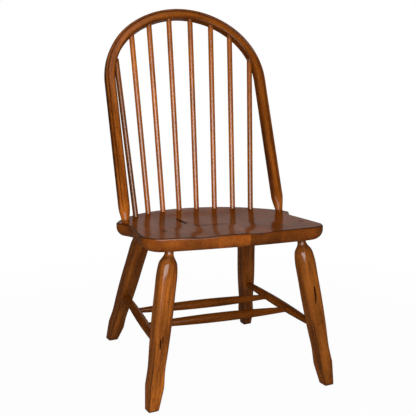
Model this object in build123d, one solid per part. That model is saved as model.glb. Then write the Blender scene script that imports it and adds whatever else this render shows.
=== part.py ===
from build123d import *
from math import cos, exp, radians, sin, tan
import os

# Bow back side chair: a saddled plank seat glued up from boards, a bent bow with eight
# plain spindles behind the sitter, four splayed square legs with turned tops, and two
# side stretchers tied together by two cross stretchers.
# Millimetres and degrees. +Z is up, the chair faces -Y, +X is on the right seen from the
# front, and the origin is on the floor under the middle of the chair.

# Fits
glue_clearance = 0.1
cope_clearance = 0.3
glue_line = 0.1

# Seat plank: the top at x = y = 0, and the outline in plan
seat_height = 456.5
seat_tilt = 2.2
seat_thickness = 41.0
seat_arc_centre_y = -65.0
seat_rear_radius = 295.0
seat_ear_angle = 72.7
seat_ear_radius = 30.0
seat_waist_half_width = 256.0
seat_waist_y = -32.0
seat_waist_radius = 90.0
seat_front_half_width = 272.5
seat_front_corner_y = -270.0
seat_front_corner_radius = 62.0
seat_front_centre_y = -290.0
seat_under_radius = 28.0
seat_board_joints = (-164.0, -72.0, 20.0, 112.0, 204.0)

# Saddle: a bowl behind, and two thigh grooves that leave a pommel between them in front
saddle_depth = 9.0
saddle_half_width = 190.0
saddle_bowl_y = 15.0
saddle_bowl_length = 120.0
groove_depth = 3.5
groove_spacing = 82.0
groove_half_width = 38.0
groove_start_length = 32.0
pommel_x = -30.0
saddle_grid = 32

# Legs: centres of the feet and of the turned necks where they enter the seat
front_foot_x = 264.0
front_foot_y = -289.0
front_neck_x = 196.0
front_neck_y = -240.0
rear_foot_x = 245.5
rear_foot_y = 288.0
rear_neck_x = 171.0
rear_neck_y = 111.0
leg_width = 51.3
leg_calf_width = 38.4
leg_ankle_width = 41.4
leg_foot_width = 31.6
leg_ankle_height = 66.0
leg_calf_height = 108.0
leg_thigh_width = 46.2
leg_thigh_height = 214.0
leg_knee_height = 320.0
leg_edge_radius = 16.0
leg_thigh_edge_radius = 8.5
leg_low_edge_radius = 5.0
leg_foot_edge_radius = 5.0
leg_turn = 7.5
leg_foot_chamfer = 2.0
leg_neck_diameter = 24.6
leg_neck_length = 7.0
leg_shoulder_length = 54.0
leg_shoulder_diameter = 68.0
leg_shoulder_mid_diameter = 51.0
leg_shoulder_mid_drop = 25.0
leg_shoulder_lean = 0.25
leg_tenon_depth = 24.0

# Stretchers
front_stretcher_height = 171.0
rear_stretcher_height = 174.0
side_stretcher_diameter = 27.5
side_stretcher_end_diameter = 17.5
side_tenon_past_axis = 6.0
front_cross_y = -98.0
rear_cross_y = 40.5
cross_stretcher_diameter = 28.5
cross_stretcher_end_diameter = 16.0
cross_tenon_past_axis = 3.0
stretcher_lead = 6.0

# Bow: centre line in its own leaning plane, from the seat upwards
bow_foot_y = 29.0
bow_recline = 22.6
bow_half_width = 250.3
bow_shoulder_radius = 215.0
bow_crown_half_angle = 39.2
bow_rise = 671.0
bow_width = 31.0
bow_depth = 30.0
bow_edge_radius = 5.0
bow_bead_width = 8.5
bow_groove_radius = 1.3
bow_foot_diameter = 23.0
bow_foot_straight = 6.0
bow_foot_taper = 56.0
bow_foot_trim_diameter = 44.0
bow_tenon_depth = 26.0

# Spindles: evenly spread on an arc in the seat; in the bow at these distances along its
# inner edge, each side of the middle
spindle_diameter = 17.0
spindle_arc_centre_y = -100.0
spindle_arc_radius = 302.0
spindle_foot_pitch = 11.4
spindle_top_distances = (36.0, 107.5, 180.0, 284.5)
spindle_seat_depth = 24.0
spindle_tenon_diameter = 11.0
spindle_tenon_depth = 17.0
spindle_cope_reach = 24.0

seat_slope = tan(radians(seat_tilt))
seat_frame = Plane(
    origin=(0, 0, seat_height),
    x_dir=(1, 0, 0),
    z_dir=(0, sin(radians(seat_tilt)), cos(radians(seat_tilt))),
)
bow_frame = Plane(
    origin=(0, bow_foot_y, seat_height - seat_slope * bow_foot_y),
    x_dir=(1, 0, 0),
    z_dir=(0, -cos(radians(bow_recline)), sin(radians(bow_recline))),
)


def seat_top(x, y):
    """Point on the untouched seat plane over a place in plan."""
    return Vector(x, y, seat_height - seat_slope * y)


def seat_underside(x, y):
    """Point on the flat underside of the seat below a place in plan."""
    drop = seat_thickness / cos(radians(seat_tilt))
    return seat_top(x, y) - Vector(0, 0, drop)


def along(start, end, distance):
    """Point at a distance from start towards end, and past it."""
    return start + (end - start).normalized() * distance


def axis_plane(start, end):
    """Plane at start with its normal towards end and its x level with a main axis."""
    normal = (end - start).normalized()
    level = Vector(0, 1, 0) if abs(normal.X) > 0.9 else Vector(1, 0, 0)
    across = level - normal * normal.dot(level)
    return Plane(origin=start, x_dir=across.normalized(), z_dir=normal)


def rod(start, end, diameter):
    """Plain round bar between two points."""
    bar = Cylinder(diameter / 2, (end - start).length, align=(Align.CENTER, Align.CENTER, Align.MIN))
    return axis_plane(start, end) * bar


def turning(edges):
    """Solid of revolution about Z from an outline of (radius, height) edges."""
    return revolve(Plane.XZ * make_face(edges), Axis.Z)


def one_solid(shape):
    """Largest solid of a result."""
    return max(shape.solids(), key=lambda solid: solid.volume)


def seat_outline():
    """Plan of the seat: rear arc, blunt ears, drawn-in waist, rounded front corners."""
    ear_x = seat_rear_radius * sin(radians(seat_ear_angle))
    ear_y = seat_arc_centre_y + seat_rear_radius * cos(radians(seat_ear_angle))
    rear_y = seat_arc_centre_y + seat_rear_radius
    edges = ThreePointArc((-ear_x, ear_y), (0, rear_y), (ear_x, ear_y))
    edges += Polyline(
        (ear_x, ear_y),
        (seat_waist_half_width, seat_waist_y),
        (seat_front_half_width, seat_front_corner_y),
    )
    edges += ThreePointArc(
        (seat_front_half_width, seat_front_corner_y),
        (0, seat_front_centre_y),
        (-seat_front_half_width, seat_front_corner_y),
    )
    edges += Polyline(
        (-seat_front_half_width, seat_front_corner_y),
        (-seat_waist_half_width, seat_waist_y),
        (-ear_x, ear_y),
    )
    plan = make_face(edges)
    rounding = (
        (seat_ear_radius, ear_y),
        (seat_waist_radius, seat_waist_y),
        (seat_front_corner_radius, seat_front_corner_y),
    )
    for radius, corner_y in rounding:
        pair = [v for v in plan.vertices() if abs(v.Y - corner_y) < 0.01 and abs(v.X) > 1]
        plan = fillet(pair, radius)
    return plan


def saddle_drop(x, y):
    """Depth of the saddled top below the seat plane."""
    across = exp(-((x / saddle_half_width) ** 4))
    bowl = across * exp(-(((y - saddle_bowl_y) / saddle_bowl_length) ** 4))
    forward = 1 / (1 + exp((y - saddle_bowl_y) / groove_start_length))
    left = exp(-(((x - pommel_x + groove_spacing) / groove_half_width) ** 2))
    right = exp(-(((x - pommel_x - groove_spacing) / groove_half_width) ** 2))
    return saddle_depth * bowl + groove_depth * (left + right) * forward * (1 - bowl)


def saddle_cutter():
    """Block whose underside is the saddled top, wider than the seat on every side."""
    reach = seat_rear_radius + seat_under_radius
    step = 2 * reach / (saddle_grid - 1)
    places = [-reach + step * i for i in range(saddle_grid)]
    grid = [[Vector(x, y, -saddle_drop(x, y)) for y in places] for x in places]
    skin = Face.make_surface_from_array_of_points(grid)
    return extrude(skin, amount=3 * seat_thickness, dir=(0, 0, 1))


def seat_blank():
    """Whole seat before boring: rounded under its edge and saddled on top."""
    plan = seat_outline()
    slab = extrude(Pos(0, 0, -seat_thickness) * plan, amount=seat_thickness + saddle_depth)
    under = slab.faces().sort_by(Axis.Z)[0]
    slab = fillet(under.edges(), seat_under_radius)
    slab = one_solid(slab - saddle_cutter())
    return seat_frame * slab


def seat_boards(seat):
    """Boards of the seat, split along straight glued joints that run front to back."""
    reach = 2 * seat_rear_radius
    edges = (-reach,) + seat_board_joints + (reach,)
    boards = []
    for left, right in zip(edges, edges[1:]):
        width = right - left - glue_line
        strip = Pos((left + right) / 2, 0, seat_height) * Box(width, 2 * reach, 2 * reach)
        boards.append(one_solid(seat & strip))
    return boards


def leg_ends(side, front):
    """Foot centre on the floor and neck centre at the underside of the seat."""
    if front:
        foot = Vector(side * front_foot_x, front_foot_y, 0)
        neck = seat_underside(side * front_neck_x, front_neck_y)
    else:
        foot = Vector(side * rear_foot_x, rear_foot_y, 0)
        neck = seat_underside(side * rear_neck_x, rear_neck_y)
    return foot, neck


def leg_section(height, width, radius):
    return Pos(0, 0, height) * RectangleRounded(width, width, radius)


def leg_post(length):
    """Square post: foot, ankle, thin calf and full knee, before its top is turned."""
    taper = (leg_ankle_width - leg_foot_width) / leg_ankle_height
    below = leg_section(-leg_width / 2, leg_foot_width - taper * leg_width / 2, leg_foot_edge_radius)
    ankle = leg_section(leg_ankle_height, leg_ankle_width, leg_low_edge_radius)
    upper = loft([
        ankle,
        leg_section(leg_calf_height, leg_calf_width, leg_low_edge_radius),
        leg_section(leg_thigh_height, leg_thigh_width, leg_thigh_edge_radius),
        leg_section(leg_knee_height, leg_width, leg_edge_radius),
        leg_section(length, leg_width, leg_edge_radius),
    ])
    return loft([below, ankle], ruled=True) + upper


def leg_turning(length):
    """Turned envelope of a leg: wide below, a rounded shoulder, then the neck and tenon."""
    neck = leg_neck_diameter / 2
    wide = leg_shoulder_diameter / 2
    neck_z = length - leg_neck_length
    wide_z = length - leg_neck_length - leg_shoulder_length
    shoulder = Spline(
        (wide, wide_z),
        (leg_shoulder_mid_diameter / 2, neck_z - leg_shoulder_mid_drop),
        (neck, neck_z),
        tangents=((-leg_shoulder_lean, 1), (-leg_shoulder_lean, 1)),
    )
    edges = shoulder + Polyline(
        (neck, neck_z),
        (neck, length + leg_tenon_depth),
        (0, length + leg_tenon_depth),
        (0, -leg_ankle_height),
        (wide, -leg_ankle_height),
        (wide, wide_z),
    )
    return turning(edges)


def leg(side, front):
    """One leg, standing flat on the floor, with its tenon in the seat."""
    foot, neck = leg_ends(side, front)
    length = (neck - foot).length
    post = leg_post(length + leg_tenon_depth) & leg_turning(length)
    post = axis_plane(foot, neck) * Rot(0, 0, leg_turn) * post
    floor = Pos(foot.X, foot.Y, 0) * Box(
        4 * leg_width, 4 * leg_width, 4 * leg_width, align=(Align.CENTER, Align.CENTER, Align.MAX)
    )
    post = one_solid(post - floor)
    sole = post.faces().sort_by(Axis.Z)[0]
    return chamfer(sole.edges(), leg_foot_chamfer)


def leg_socket(side, front):
    """Round hole in the seat for a leg's tenon."""
    foot, neck = leg_ends(side, front)
    length = (neck - foot).length
    start = along(foot, neck, length - leg_neck_length)
    end = along(foot, neck, length + leg_tenon_depth + glue_clearance)
    return rod(start, end, leg_neck_diameter + 2 * glue_clearance)


def leg_axis_at(side, front, height):
    """Point on a leg's axis at a height above the floor."""
    foot, neck = leg_ends(side, front)
    return foot + (neck - foot) * (height / neck.Z)


def swelled_bar(start, end, diameter, end_diameter, extra, host_width):
    """Stretcher turned thick in the middle, with ends that run past both points.

    It stays straight through each host piece and a little way out of it.
    """
    length = (end - start).length
    thin = end_diameter / 2
    lead = host_width / 2 + stretcher_lead
    swell = ThreePointArc((thin, lead), (diameter / 2, length / 2), (thin, length - lead))
    edges = swell + Polyline(
        (thin, length - lead),
        (thin, length + extra),
        (0, length + extra),
        (0, -extra),
        (thin, -extra),
        (thin, lead),
    )
    return axis_plane(start, end) * turning(edges)


def side_stretcher_ends(side):
    """Crossing points of a side stretcher's axis with its two legs' axes."""
    front = leg_axis_at(side, True, front_stretcher_height)
    rear = leg_axis_at(side, False, rear_stretcher_height)
    return front, rear


def side_stretcher(side):
    front, rear = side_stretcher_ends(side)
    return swelled_bar(
        front,
        rear,
        side_stretcher_diameter,
        side_stretcher_end_diameter,
        side_tenon_past_axis,
        leg_width,
    )


def side_socket(side):
    """Hole in both legs of a side for the ends of its stretcher."""
    front, rear = side_stretcher_ends(side)
    past = side_tenon_past_axis + glue_clearance
    return rod(
        along(front, rear, -past),
        along(rear, front, -past),
        side_stretcher_end_diameter + 2 * glue_clearance,
    )


def cross_stretcher_end(side, place_y):
    """Point on a side stretcher's axis where a cross stretcher meets it."""
    front, rear = side_stretcher_ends(side)
    return front + (rear - front) * ((place_y - front.Y) / (rear.Y - front.Y))


def cross_stretcher(place_y):
    return swelled_bar(
        cross_stretcher_end(-1, place_y),
        cross_stretcher_end(1, place_y),
        cross_stretcher_diameter,
        cross_stretcher_end_diameter,
        cross_tenon_past_axis,
        side_stretcher_diameter,
    )


def cross_socket(place_y):
    """Hole in both side stretchers for the ends of a cross stretcher."""
    left = cross_stretcher_end(-1, place_y)
    right = cross_stretcher_end(1, place_y)
    past = cross_tenon_past_axis + glue_clearance
    return rod(
        along(left, right, -past),
        along(right, left, -past),
        cross_stretcher_end_diameter + 2 * glue_clearance,
    )


def bow_crown_radius():
    """Radius of the flatter crown arc that joins the two shoulder arcs."""
    reach = bow_half_width - bow_shoulder_radius
    return bow_shoulder_radius + reach / sin(radians(bow_crown_half_angle))


def bow_shoulder_centre():
    """Centre of the right shoulder arc in the bow's plane."""
    step = bow_crown_radius() - bow_shoulder_radius
    height = bow_rise - bow_crown_radius() + step * cos(radians(bow_crown_half_angle))
    return bow_half_width - bow_shoulder_radius, height


def bow_point(turn, inset=0.0):
    """Point of the bow's right half where it has turned by an angle from the crown.

    The inset is measured inwards from the centre line.
    """
    if turn <= radians(bow_crown_half_angle):
        radius = bow_crown_radius() - inset
        return radius * sin(turn), bow_rise - bow_crown_radius() + radius * cos(turn)
    centre_x, centre_y = bow_shoulder_centre()
    radius = bow_shoulder_radius - inset
    return centre_x + radius * sin(turn), centre_y + radius * cos(turn)


def bow_path():
    """Centre line of the bow in its plane, from tenon to tenon."""
    joint_turn = radians(bow_crown_half_angle)
    joint_x, joint_y = bow_point(joint_turn)
    mid_x, mid_y = bow_point((radians(90) + joint_turn) / 2)
    shoulder_y = bow_shoulder_centre()[1]
    path = Line((-bow_half_width, -bow_tenon_depth), (-bow_half_width, shoulder_y))
    path += ThreePointArc((-bow_half_width, shoulder_y), (-mid_x, mid_y), (-joint_x, joint_y))
    path += ThreePointArc((-joint_x, joint_y), (0, bow_rise), (joint_x, joint_y))
    path += ThreePointArc((joint_x, joint_y), (mid_x, mid_y), (bow_half_width, shoulder_y))
    path += Line((bow_half_width, shoulder_y), (bow_half_width, -bow_tenon_depth))
    return path


def bow_inner_point(distance):
    """Point on the bow's inner edge at a distance along that edge from the middle."""
    inset = bow_width / 2
    crown_length = (bow_crown_radius() - inset) * radians(bow_crown_half_angle)
    if distance <= crown_length:
        return bow_point(distance / (bow_crown_radius() - inset), inset)
    beyond = (distance - crown_length) / (bow_shoulder_radius - inset)
    return bow_point(radians(bow_crown_half_angle) + beyond, inset)


def bow_start_plane():
    return Plane(origin=(-bow_half_width, -bow_tenon_depth, 0), x_dir=(1, 0, 0), z_dir=(0, 1, 0))


def bow_envelope():
    """Space kept clear for the bow, used to cope the spindles to its inner face."""
    section = RectangleRounded(
        bow_width + 2 * cope_clearance,
        bow_depth + 2 * cope_clearance,
        bow_edge_radius + cope_clearance,
    )
    return bow_frame * sweep(bow_start_plane() * section, path=bow_path())


def bow_foot_trim(side):
    """What is turned away around a foot of the bow."""
    outer = bow_foot_trim_diameter / 2
    foot = bow_foot_diameter / 2
    top = bow_foot_straight + bow_foot_taper
    edges = Polyline(
        (foot, -2 * bow_tenon_depth),
        (2 * outer, -2 * bow_tenon_depth),
        (2 * outer, top),
        (outer, top),
    )
    edges += Polyline((outer, top), (foot, bow_foot_straight), (foot, -2 * bow_tenon_depth))
    trim = turning(edges)
    return Pos(side * bow_half_width, 0, 0) * Plane.XZ.rotated((180, 0, 0)) * trim


def bow_blank():
    """Bent bow with a bead along its outer front edge and turned-down feet."""
    section = RectangleRounded(bow_width, bow_depth, bow_edge_radius)
    section -= Pos(bow_bead_width - bow_width / 2, -bow_depth / 2) * Circle(bow_groove_radius)
    bent = sweep(bow_start_plane() * section, path=bow_path())
    bent = bent - bow_foot_trim(-1) - bow_foot_trim(1)
    return bow_frame * one_solid(bent)


def bow_foot_socket(side):
    """Hole in the seat for a foot of the bow."""
    start = bow_frame.from_local_coords(Vector(side * bow_half_width, bow_foot_straight, 0))
    depth = -bow_tenon_depth - glue_clearance
    end = bow_frame.from_local_coords(Vector(side * bow_half_width, depth, 0))
    return rod(start, end, bow_foot_diameter + 2 * glue_clearance)


def spindle_ends(number):
    """Foot on the seat plane and top on the bow's inner edge, numbered from the left."""
    pairs = len(spindle_top_distances)
    step = number - pairs - 0.5
    rank = int(abs(step))
    side = 1 if step > 0 else -1
    angle = radians(step * spindle_foot_pitch)
    foot_x = spindle_arc_radius * sin(angle)
    foot_y = spindle_arc_centre_y + spindle_arc_radius * cos(angle)
    foot = seat_top(foot_x, foot_y)
    top_x, top_y = bow_inner_point(spindle_top_distances[rank])
    top = bow_frame.from_local_coords(Vector(side * top_x, top_y, 0))
    return foot, top


def spindle(number, envelope):
    """Plain round spindle, coped to the bow, with a thin tenon in it."""
    foot, top = spindle_ends(number)
    bar = rod(along(foot, top, -spindle_seat_depth), along(top, foot, -spindle_cope_reach), spindle_diameter)
    bar = one_solid(bar - envelope)
    tenon = rod(
        along(top, foot, 2 * spindle_diameter),
        along(top, foot, -spindle_tenon_depth),
        spindle_tenon_diameter,
    )
    return one_solid(bar + tenon)


def spindle_seat_socket(number):
    foot, top = spindle_ends(number)
    return rod(
        along(foot, top, -spindle_seat_depth - glue_clearance),
        along(foot, top, 2 * spindle_diameter),
        spindle_diameter + 2 * glue_clearance,
    )


def spindle_bow_socket(number):
    foot, top = spindle_ends(number)
    return rod(
        along(top, foot, 4 * spindle_diameter),
        along(top, foot, -spindle_tenon_depth - glue_clearance),
        spindle_tenon_diameter + 2 * glue_clearance,
    )


spindle_numbers = range(1, 2 * len(spindle_top_distances) + 1)
sides = {"left": -1, "right": 1}
pieces = {}

seat = seat_blank()
for side in sides.values():
    seat = seat - leg_socket(side, True) - leg_socket(side, False) - bow_foot_socket(side)
for number in spindle_numbers:
    seat = seat - spindle_seat_socket(number)
for number, board in enumerate(seat_boards(seat), 1):
    pieces[f"seat_board_{number}"] = board

bow = bow_blank()
for number in spindle_numbers:
    bow = bow - spindle_bow_socket(number)
pieces["bow"] = one_solid(bow)

envelope = bow_envelope()
for number in spindle_numbers:
    pieces[f"spindle_{number}"] = spindle(number, envelope)

for name, side in sides.items():
    socket = side_socket(side)
    pieces[f"leg_front_{name}"] = one_solid(leg(side, True) - socket)
    pieces[f"leg_rear_{name}"] = one_solid(leg(side, False) - socket)
    bar = side_stretcher(side) - cross_socket(front_cross_y) - cross_socket(rear_cross_y)
    pieces[f"stretcher_{name}"] = one_solid(bar)
pieces["stretcher_front_cross"] = cross_stretcher(front_cross_y)
pieces["stretcher_rear_cross"] = cross_stretcher(rear_cross_y)

extent = [shape.bounding_box() for shape in pieces.values()]
low_y = min(part.min.Y for part in extent)
high_y = max(part.max.Y for part in extent)
centring = Pos(0, -(low_y + high_y) / 2, 0)

os.makedirs("parts", exist_ok=True)
for name, shape in pieces.items():
    export_step(centring * shape, f"parts/{name}.step")
    print(name, round(shape.volume / 1000, 2), "cm3")
print("centring", round(-(low_y + high_y) / 2, 3))
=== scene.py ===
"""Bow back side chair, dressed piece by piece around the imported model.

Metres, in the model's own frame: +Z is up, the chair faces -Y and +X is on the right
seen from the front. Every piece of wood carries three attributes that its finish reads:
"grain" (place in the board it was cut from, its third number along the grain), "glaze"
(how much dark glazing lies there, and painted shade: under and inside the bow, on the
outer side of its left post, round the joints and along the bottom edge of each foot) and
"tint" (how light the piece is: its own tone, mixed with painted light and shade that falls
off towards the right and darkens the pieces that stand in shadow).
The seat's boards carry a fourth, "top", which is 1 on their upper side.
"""

import logging
import math
from dataclasses import dataclass, field
from enum import Enum
from typing import Optional, Sequence

import bmesh
import bpy
import numpy as np
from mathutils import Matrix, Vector
from mathutils.geometry import delaunay_2d_cdt


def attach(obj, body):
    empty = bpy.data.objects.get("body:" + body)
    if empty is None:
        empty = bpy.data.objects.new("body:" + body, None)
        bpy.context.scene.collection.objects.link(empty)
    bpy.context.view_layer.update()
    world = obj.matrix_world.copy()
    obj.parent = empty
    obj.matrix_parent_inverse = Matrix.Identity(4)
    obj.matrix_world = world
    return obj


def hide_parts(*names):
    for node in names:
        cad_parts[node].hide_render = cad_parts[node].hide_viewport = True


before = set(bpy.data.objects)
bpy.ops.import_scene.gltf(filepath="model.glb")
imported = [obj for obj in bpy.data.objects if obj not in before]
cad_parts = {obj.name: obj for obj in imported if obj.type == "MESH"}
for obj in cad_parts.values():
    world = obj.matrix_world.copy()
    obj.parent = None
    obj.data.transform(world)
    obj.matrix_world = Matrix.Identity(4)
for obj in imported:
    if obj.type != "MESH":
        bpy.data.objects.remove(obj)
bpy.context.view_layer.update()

LOG = logging.getLogger("chair")
BODY = "root"
# Place in the frame, along y, that the sizes below are measured from
MIDDLE_SHIFT = 0.000325
# Distance below which two points count as one
TOUCH = 1e-7

Pair = tuple[float, float]
Point = tuple[float, float, float]
Colour = tuple[float, float, float]
Face = tuple[int, ...]
GLAZE_AND_SHADE: Colour = (0.014, 0.005, 0.002)
WORN: Colour = (0.006, 0.003, 0.002)


class Slot(str, Enum):
    """Material slots of the record."""

    SEAT = "seat_wood"
    BOW = "bow_wood"
    SPINDLE = "spindle_wood"
    LEG = "leg_wood"
    STRETCHER = "stretcher_wood"


class Side(Enum):
    """Left and right, as seen from the front."""

    LEFT = -1
    RIGHT = 1


class End(Enum):
    """Front and rear pair of legs."""

    FRONT = "front"
    REAR = "rear"


class Socket(str, Enum):
    """Kinds of socket that the node groups have."""

    VECTOR = "NodeSocketVector"
    COLOUR = "NodeSocketColor"
    NUMBER = "NodeSocketFloat"
    COUNT = "NodeSocketInt"
    MATERIAL = "NodeSocketMaterial"
    GEOMETRY = "NodeSocketGeometry"


# Node helpers


@dataclass(frozen=True)
class Layer:
    """One layer of noise in the wood, drawn out along the grain by a pace below 1."""

    pace: float
    scale: float
    detail: float
    roughness: float = 0.5


class Nodes:
    """Short way to fill a node tree."""

    def __init__(self, tree: bpy.types.NodeTree) -> None:
        """Keep the shader or geometry node tree that the nodes go into."""
        self.tree = tree

    def add(self, kind: str, inputs: Optional[dict] = None, **settings: object) -> bpy.types.Node:
        """Add one node.

        Args:
            kind: Node type.
            inputs: Values or output sockets, by input name or number.
            **settings: Node properties.

        Returns:
            The new node.
        """
        node = self.tree.nodes.new(kind)
        for name, value in settings.items():
            setattr(node, name, value)
        for key, value in (inputs or {}).items():
            self.feed(node.inputs[key], value)
        return node

    def feed(self, socket: bpy.types.NodeSocket, value: object) -> None:
        """Link an output socket to an input, or set the input's value.

        Args:
            socket: The input.
            value: Output socket or plain value.
        """
        if isinstance(value, bpy.types.NodeSocket):
            self.tree.links.new(value, socket)
        else:
            socket.default_value = value

    def maths(self, operation: str, *values: object, clamp: bool = False) -> bpy.types.NodeSocket:
        """Add a Math node and return its result."""
        inputs = dict(enumerate(values))
        return self.add("ShaderNodeMath", inputs, operation=operation, use_clamp=clamp).outputs[0]

    def vector(self, operation: str, *values: object) -> bpy.types.NodeSocket:
        """Add a Vector Math node and return the vector that it makes."""
        inputs = dict(enumerate(values))
        return self.add("ShaderNodeVectorMath", inputs, operation=operation).outputs["Vector"]

    def measure(self, operation: str, *values: object) -> bpy.types.NodeSocket:
        """Add a Vector Math node and return the number that it makes."""
        inputs = dict(enumerate(values))
        return self.add("ShaderNodeVectorMath", inputs, operation=operation).outputs["Value"]

    def scaled(self, vector: object, factor: object) -> bpy.types.NodeSocket:
        """Multiply a vector or a colour by a number and return the result."""
        inputs = {0: vector, "Scale": factor}
        return self.add("ShaderNodeVectorMath", inputs, operation="SCALE").outputs["Vector"]

    def spread(self, value: object, source: tuple[object, object],
               result: tuple[object, object] = (0.0, 1.0), smooth: bool = False) -> bpy.types.NodeSocket:
        """Map a value from one range to another, held at the ends.

        Args:
            value: Number or socket to map.
            source: Start and end of the range.
            result: Results at the start and at the end.
            smooth: Ease in and out instead of a straight line.

        Returns:
            The mapped value.
        """
        kind = "SMOOTHSTEP" if smooth else "LINEAR"
        inputs = dict(enumerate((value, *source, *result)))
        return self.add("ShaderNodeMapRange", inputs, interpolation_type=kind).outputs[0]

    def mix(self, factor: object, first: object, second: object) -> bpy.types.NodeSocket:
        """Mix two colours and return the result."""
        inputs = {0: factor, 6: first, 7: second}
        return self.add("ShaderNodeMix", inputs, data_type="RGBA").outputs[2]

    def noise(self, where: object, layer: Layer) -> bpy.types.NodeSocket:
        """Add one layer of noise.

        Args:
            where: Place in the board, its third number along the grain.
            layer: What the noise is like.

        Returns:
            The value of the noise.
        """
        drawn = self.vector("MULTIPLY", where, (1.0, 1.0, layer.pace))
        return self.add("ShaderNodeTexNoise", {
            "Vector": drawn, "Scale": layer.scale, "Detail": layer.detail, "Roughness": layer.roughness,
        }).outputs[0]

    def attribute(self, name: str, output: str = "Fac") -> bpy.types.NodeSocket:
        """Read an attribute of the mesh."""
        return self.add("ShaderNodeAttribute", attribute_name=name).outputs[output]

    def effect(self, group: bpy.types.NodeTree, inputs: dict[str, object]) -> bpy.types.NodeOutputs:
        """Place a shader node group and return its outputs."""
        return self.add("ShaderNodeGroup", inputs, node_tree=group).outputs


def new_group(name: str, kind: str, inputs: dict[str, Socket],
              outputs: dict[str, Socket]) -> tuple[Nodes, bpy.types.Node, bpy.types.Node]:
    """Make an empty node group with named sockets.

    Args:
        name: Group name.
        kind: Tree type.
        inputs: Socket kinds by input name.
        outputs: Socket kinds by output name.

    Returns:
        The node helper, the group's input node and its output node.
    """
    tree = bpy.data.node_groups.new(name, kind)
    for label, socket in inputs.items():
        tree.interface.new_socket(label, in_out="INPUT", socket_type=socket.value)
    for label, socket in outputs.items():
        tree.interface.new_socket(label, in_out="OUTPUT", socket_type=socket.value)
    nodes = Nodes(tree)
    return nodes, nodes.add("NodeGroupInput"), nodes.add("NodeGroupOutput")


# Effects and finishes


@dataclass(frozen=True)
class Grain:
    """Effect that turns a place in a board into the colour and relief of stained wood."""

    sway: Layer = Layer(0.25, 22.0, 2.0)
    swing: Point = (0.006, 0.006, 0.0)
    streaks: Layer = Layer(0.05, 190.0, 4.0, 0.62)
    streak_share: float = 0.35
    figure: Layer = Layer(0.12, 48.0, 3.0)
    figure_share: float = 0.4
    speckle: Layer = Layer(0.35, 300.0, 3.0, 0.6)
    speckle_share: float = 0.25
    middle_tone: float = 0.5
    clouds: Layer = Layer(0.5, 16.0, 2.0)
    cloud_range: Pair = (0.3, 0.7)
    cloud_levels: Pair = (0.78, 1.16)
    pores: Layer = Layer(0.035, 620.0, 2.0, 0.7)
    pore_range: Pair = (0.32, 0.46)
    pore_levels: Pair = (0.62, 1.0)
    pore_relief: float = 0.7

    def build(self) -> bpy.types.NodeTree:
        """Make the effect.

        Returns:
            Group with inputs Place, Light, Dark, Contrast and Tint, and outputs Colour, Height
            and Gloss.
        """
        inputs = {"Place": Socket.VECTOR, "Light": Socket.COLOUR, "Dark": Socket.COLOUR,
                  "Contrast": Socket.NUMBER, "Tint": Socket.NUMBER}
        outputs = {"Colour": Socket.COLOUR, "Height": Socket.NUMBER, "Gloss": Socket.NUMBER}
        nodes, start, end = new_group("stained_grain", "ShaderNodeTree", inputs, outputs)
        given = start.outputs
        place = given["Place"]
        bent = nodes.vector("ADD", place, nodes.scaled(self.swing, nodes.noise(place, self.sway)))
        streaks = nodes.noise(bent, self.streaks)
        clouds = nodes.noise(place, self.clouds)
        speckle = nodes.maths("MULTIPLY", nodes.noise(place, self.speckle), self.speckle_share)
        coarse = nodes.maths("MULTIPLY_ADD", nodes.noise(bent, self.figure), self.figure_share, speckle)
        fine = nodes.maths("MULTIPLY_ADD", streaks, self.streak_share, coarse)
        wave = nodes.maths("SUBTRACT", fine, self.middle_tone)
        tone = nodes.maths("MULTIPLY_ADD", wave, given["Contrast"], self.middle_tone, clamp=True)
        cloud = nodes.spread(clouds, self.cloud_range, self.cloud_levels)
        pore = nodes.spread(nodes.noise(place, self.pores), self.pore_range, self.pore_levels, smooth=True)
        # The piece's lightness, its tone with painted light and shade on some pieces, scales the colour
        level = nodes.maths("MULTIPLY", nodes.maths("MULTIPLY", cloud, pore), given["Tint"])
        colour = nodes.scaled(nodes.mix(tone, given["Dark"], given["Light"]), level)
        nodes.feed(end.inputs["Colour"], colour)
        nodes.feed(end.inputs["Height"], nodes.maths("MULTIPLY_ADD", pore, self.pore_relief, streaks))
        nodes.feed(end.inputs["Gloss"], clouds)
        return nodes.tree


@dataclass(frozen=True)
class GlazeAndShadeLayer:
    """Effect that lays dark glazing and painted shade where a mask says, broken up a little along the grain.
    """

    broken: Layer = Layer(0.3, 120.0, 3.0)
    broken_range: Pair = (0.3, 0.6)
    broken_levels: Pair = (0.72, 1.0)

    def build(self) -> bpy.types.NodeTree:
        """Make the effect.

        Returns:
            Group with inputs Colour, Glaze, Mask, Strength and Place, and output Colour.
        """
        inputs = {"Colour": Socket.COLOUR, "Glaze": Socket.COLOUR, "Mask": Socket.NUMBER,
                  "Strength": Socket.NUMBER, "Place": Socket.VECTOR}
        nodes, start, end = new_group("edge_glaze", "ShaderNodeTree", inputs, {"Colour": Socket.COLOUR})
        given = start.outputs
        broken = nodes.noise(given["Place"], self.broken)
        uneven = nodes.spread(broken, self.broken_range, self.broken_levels)
        laid = nodes.maths("MULTIPLY", given["Mask"], uneven)
        mask = nodes.maths("MULTIPLY", laid, given["Strength"], clamp=True)
        nodes.feed(end.inputs["Colour"], nodes.mix(mask, given["Colour"], given["Glaze"]))
        return nodes.tree


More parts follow.
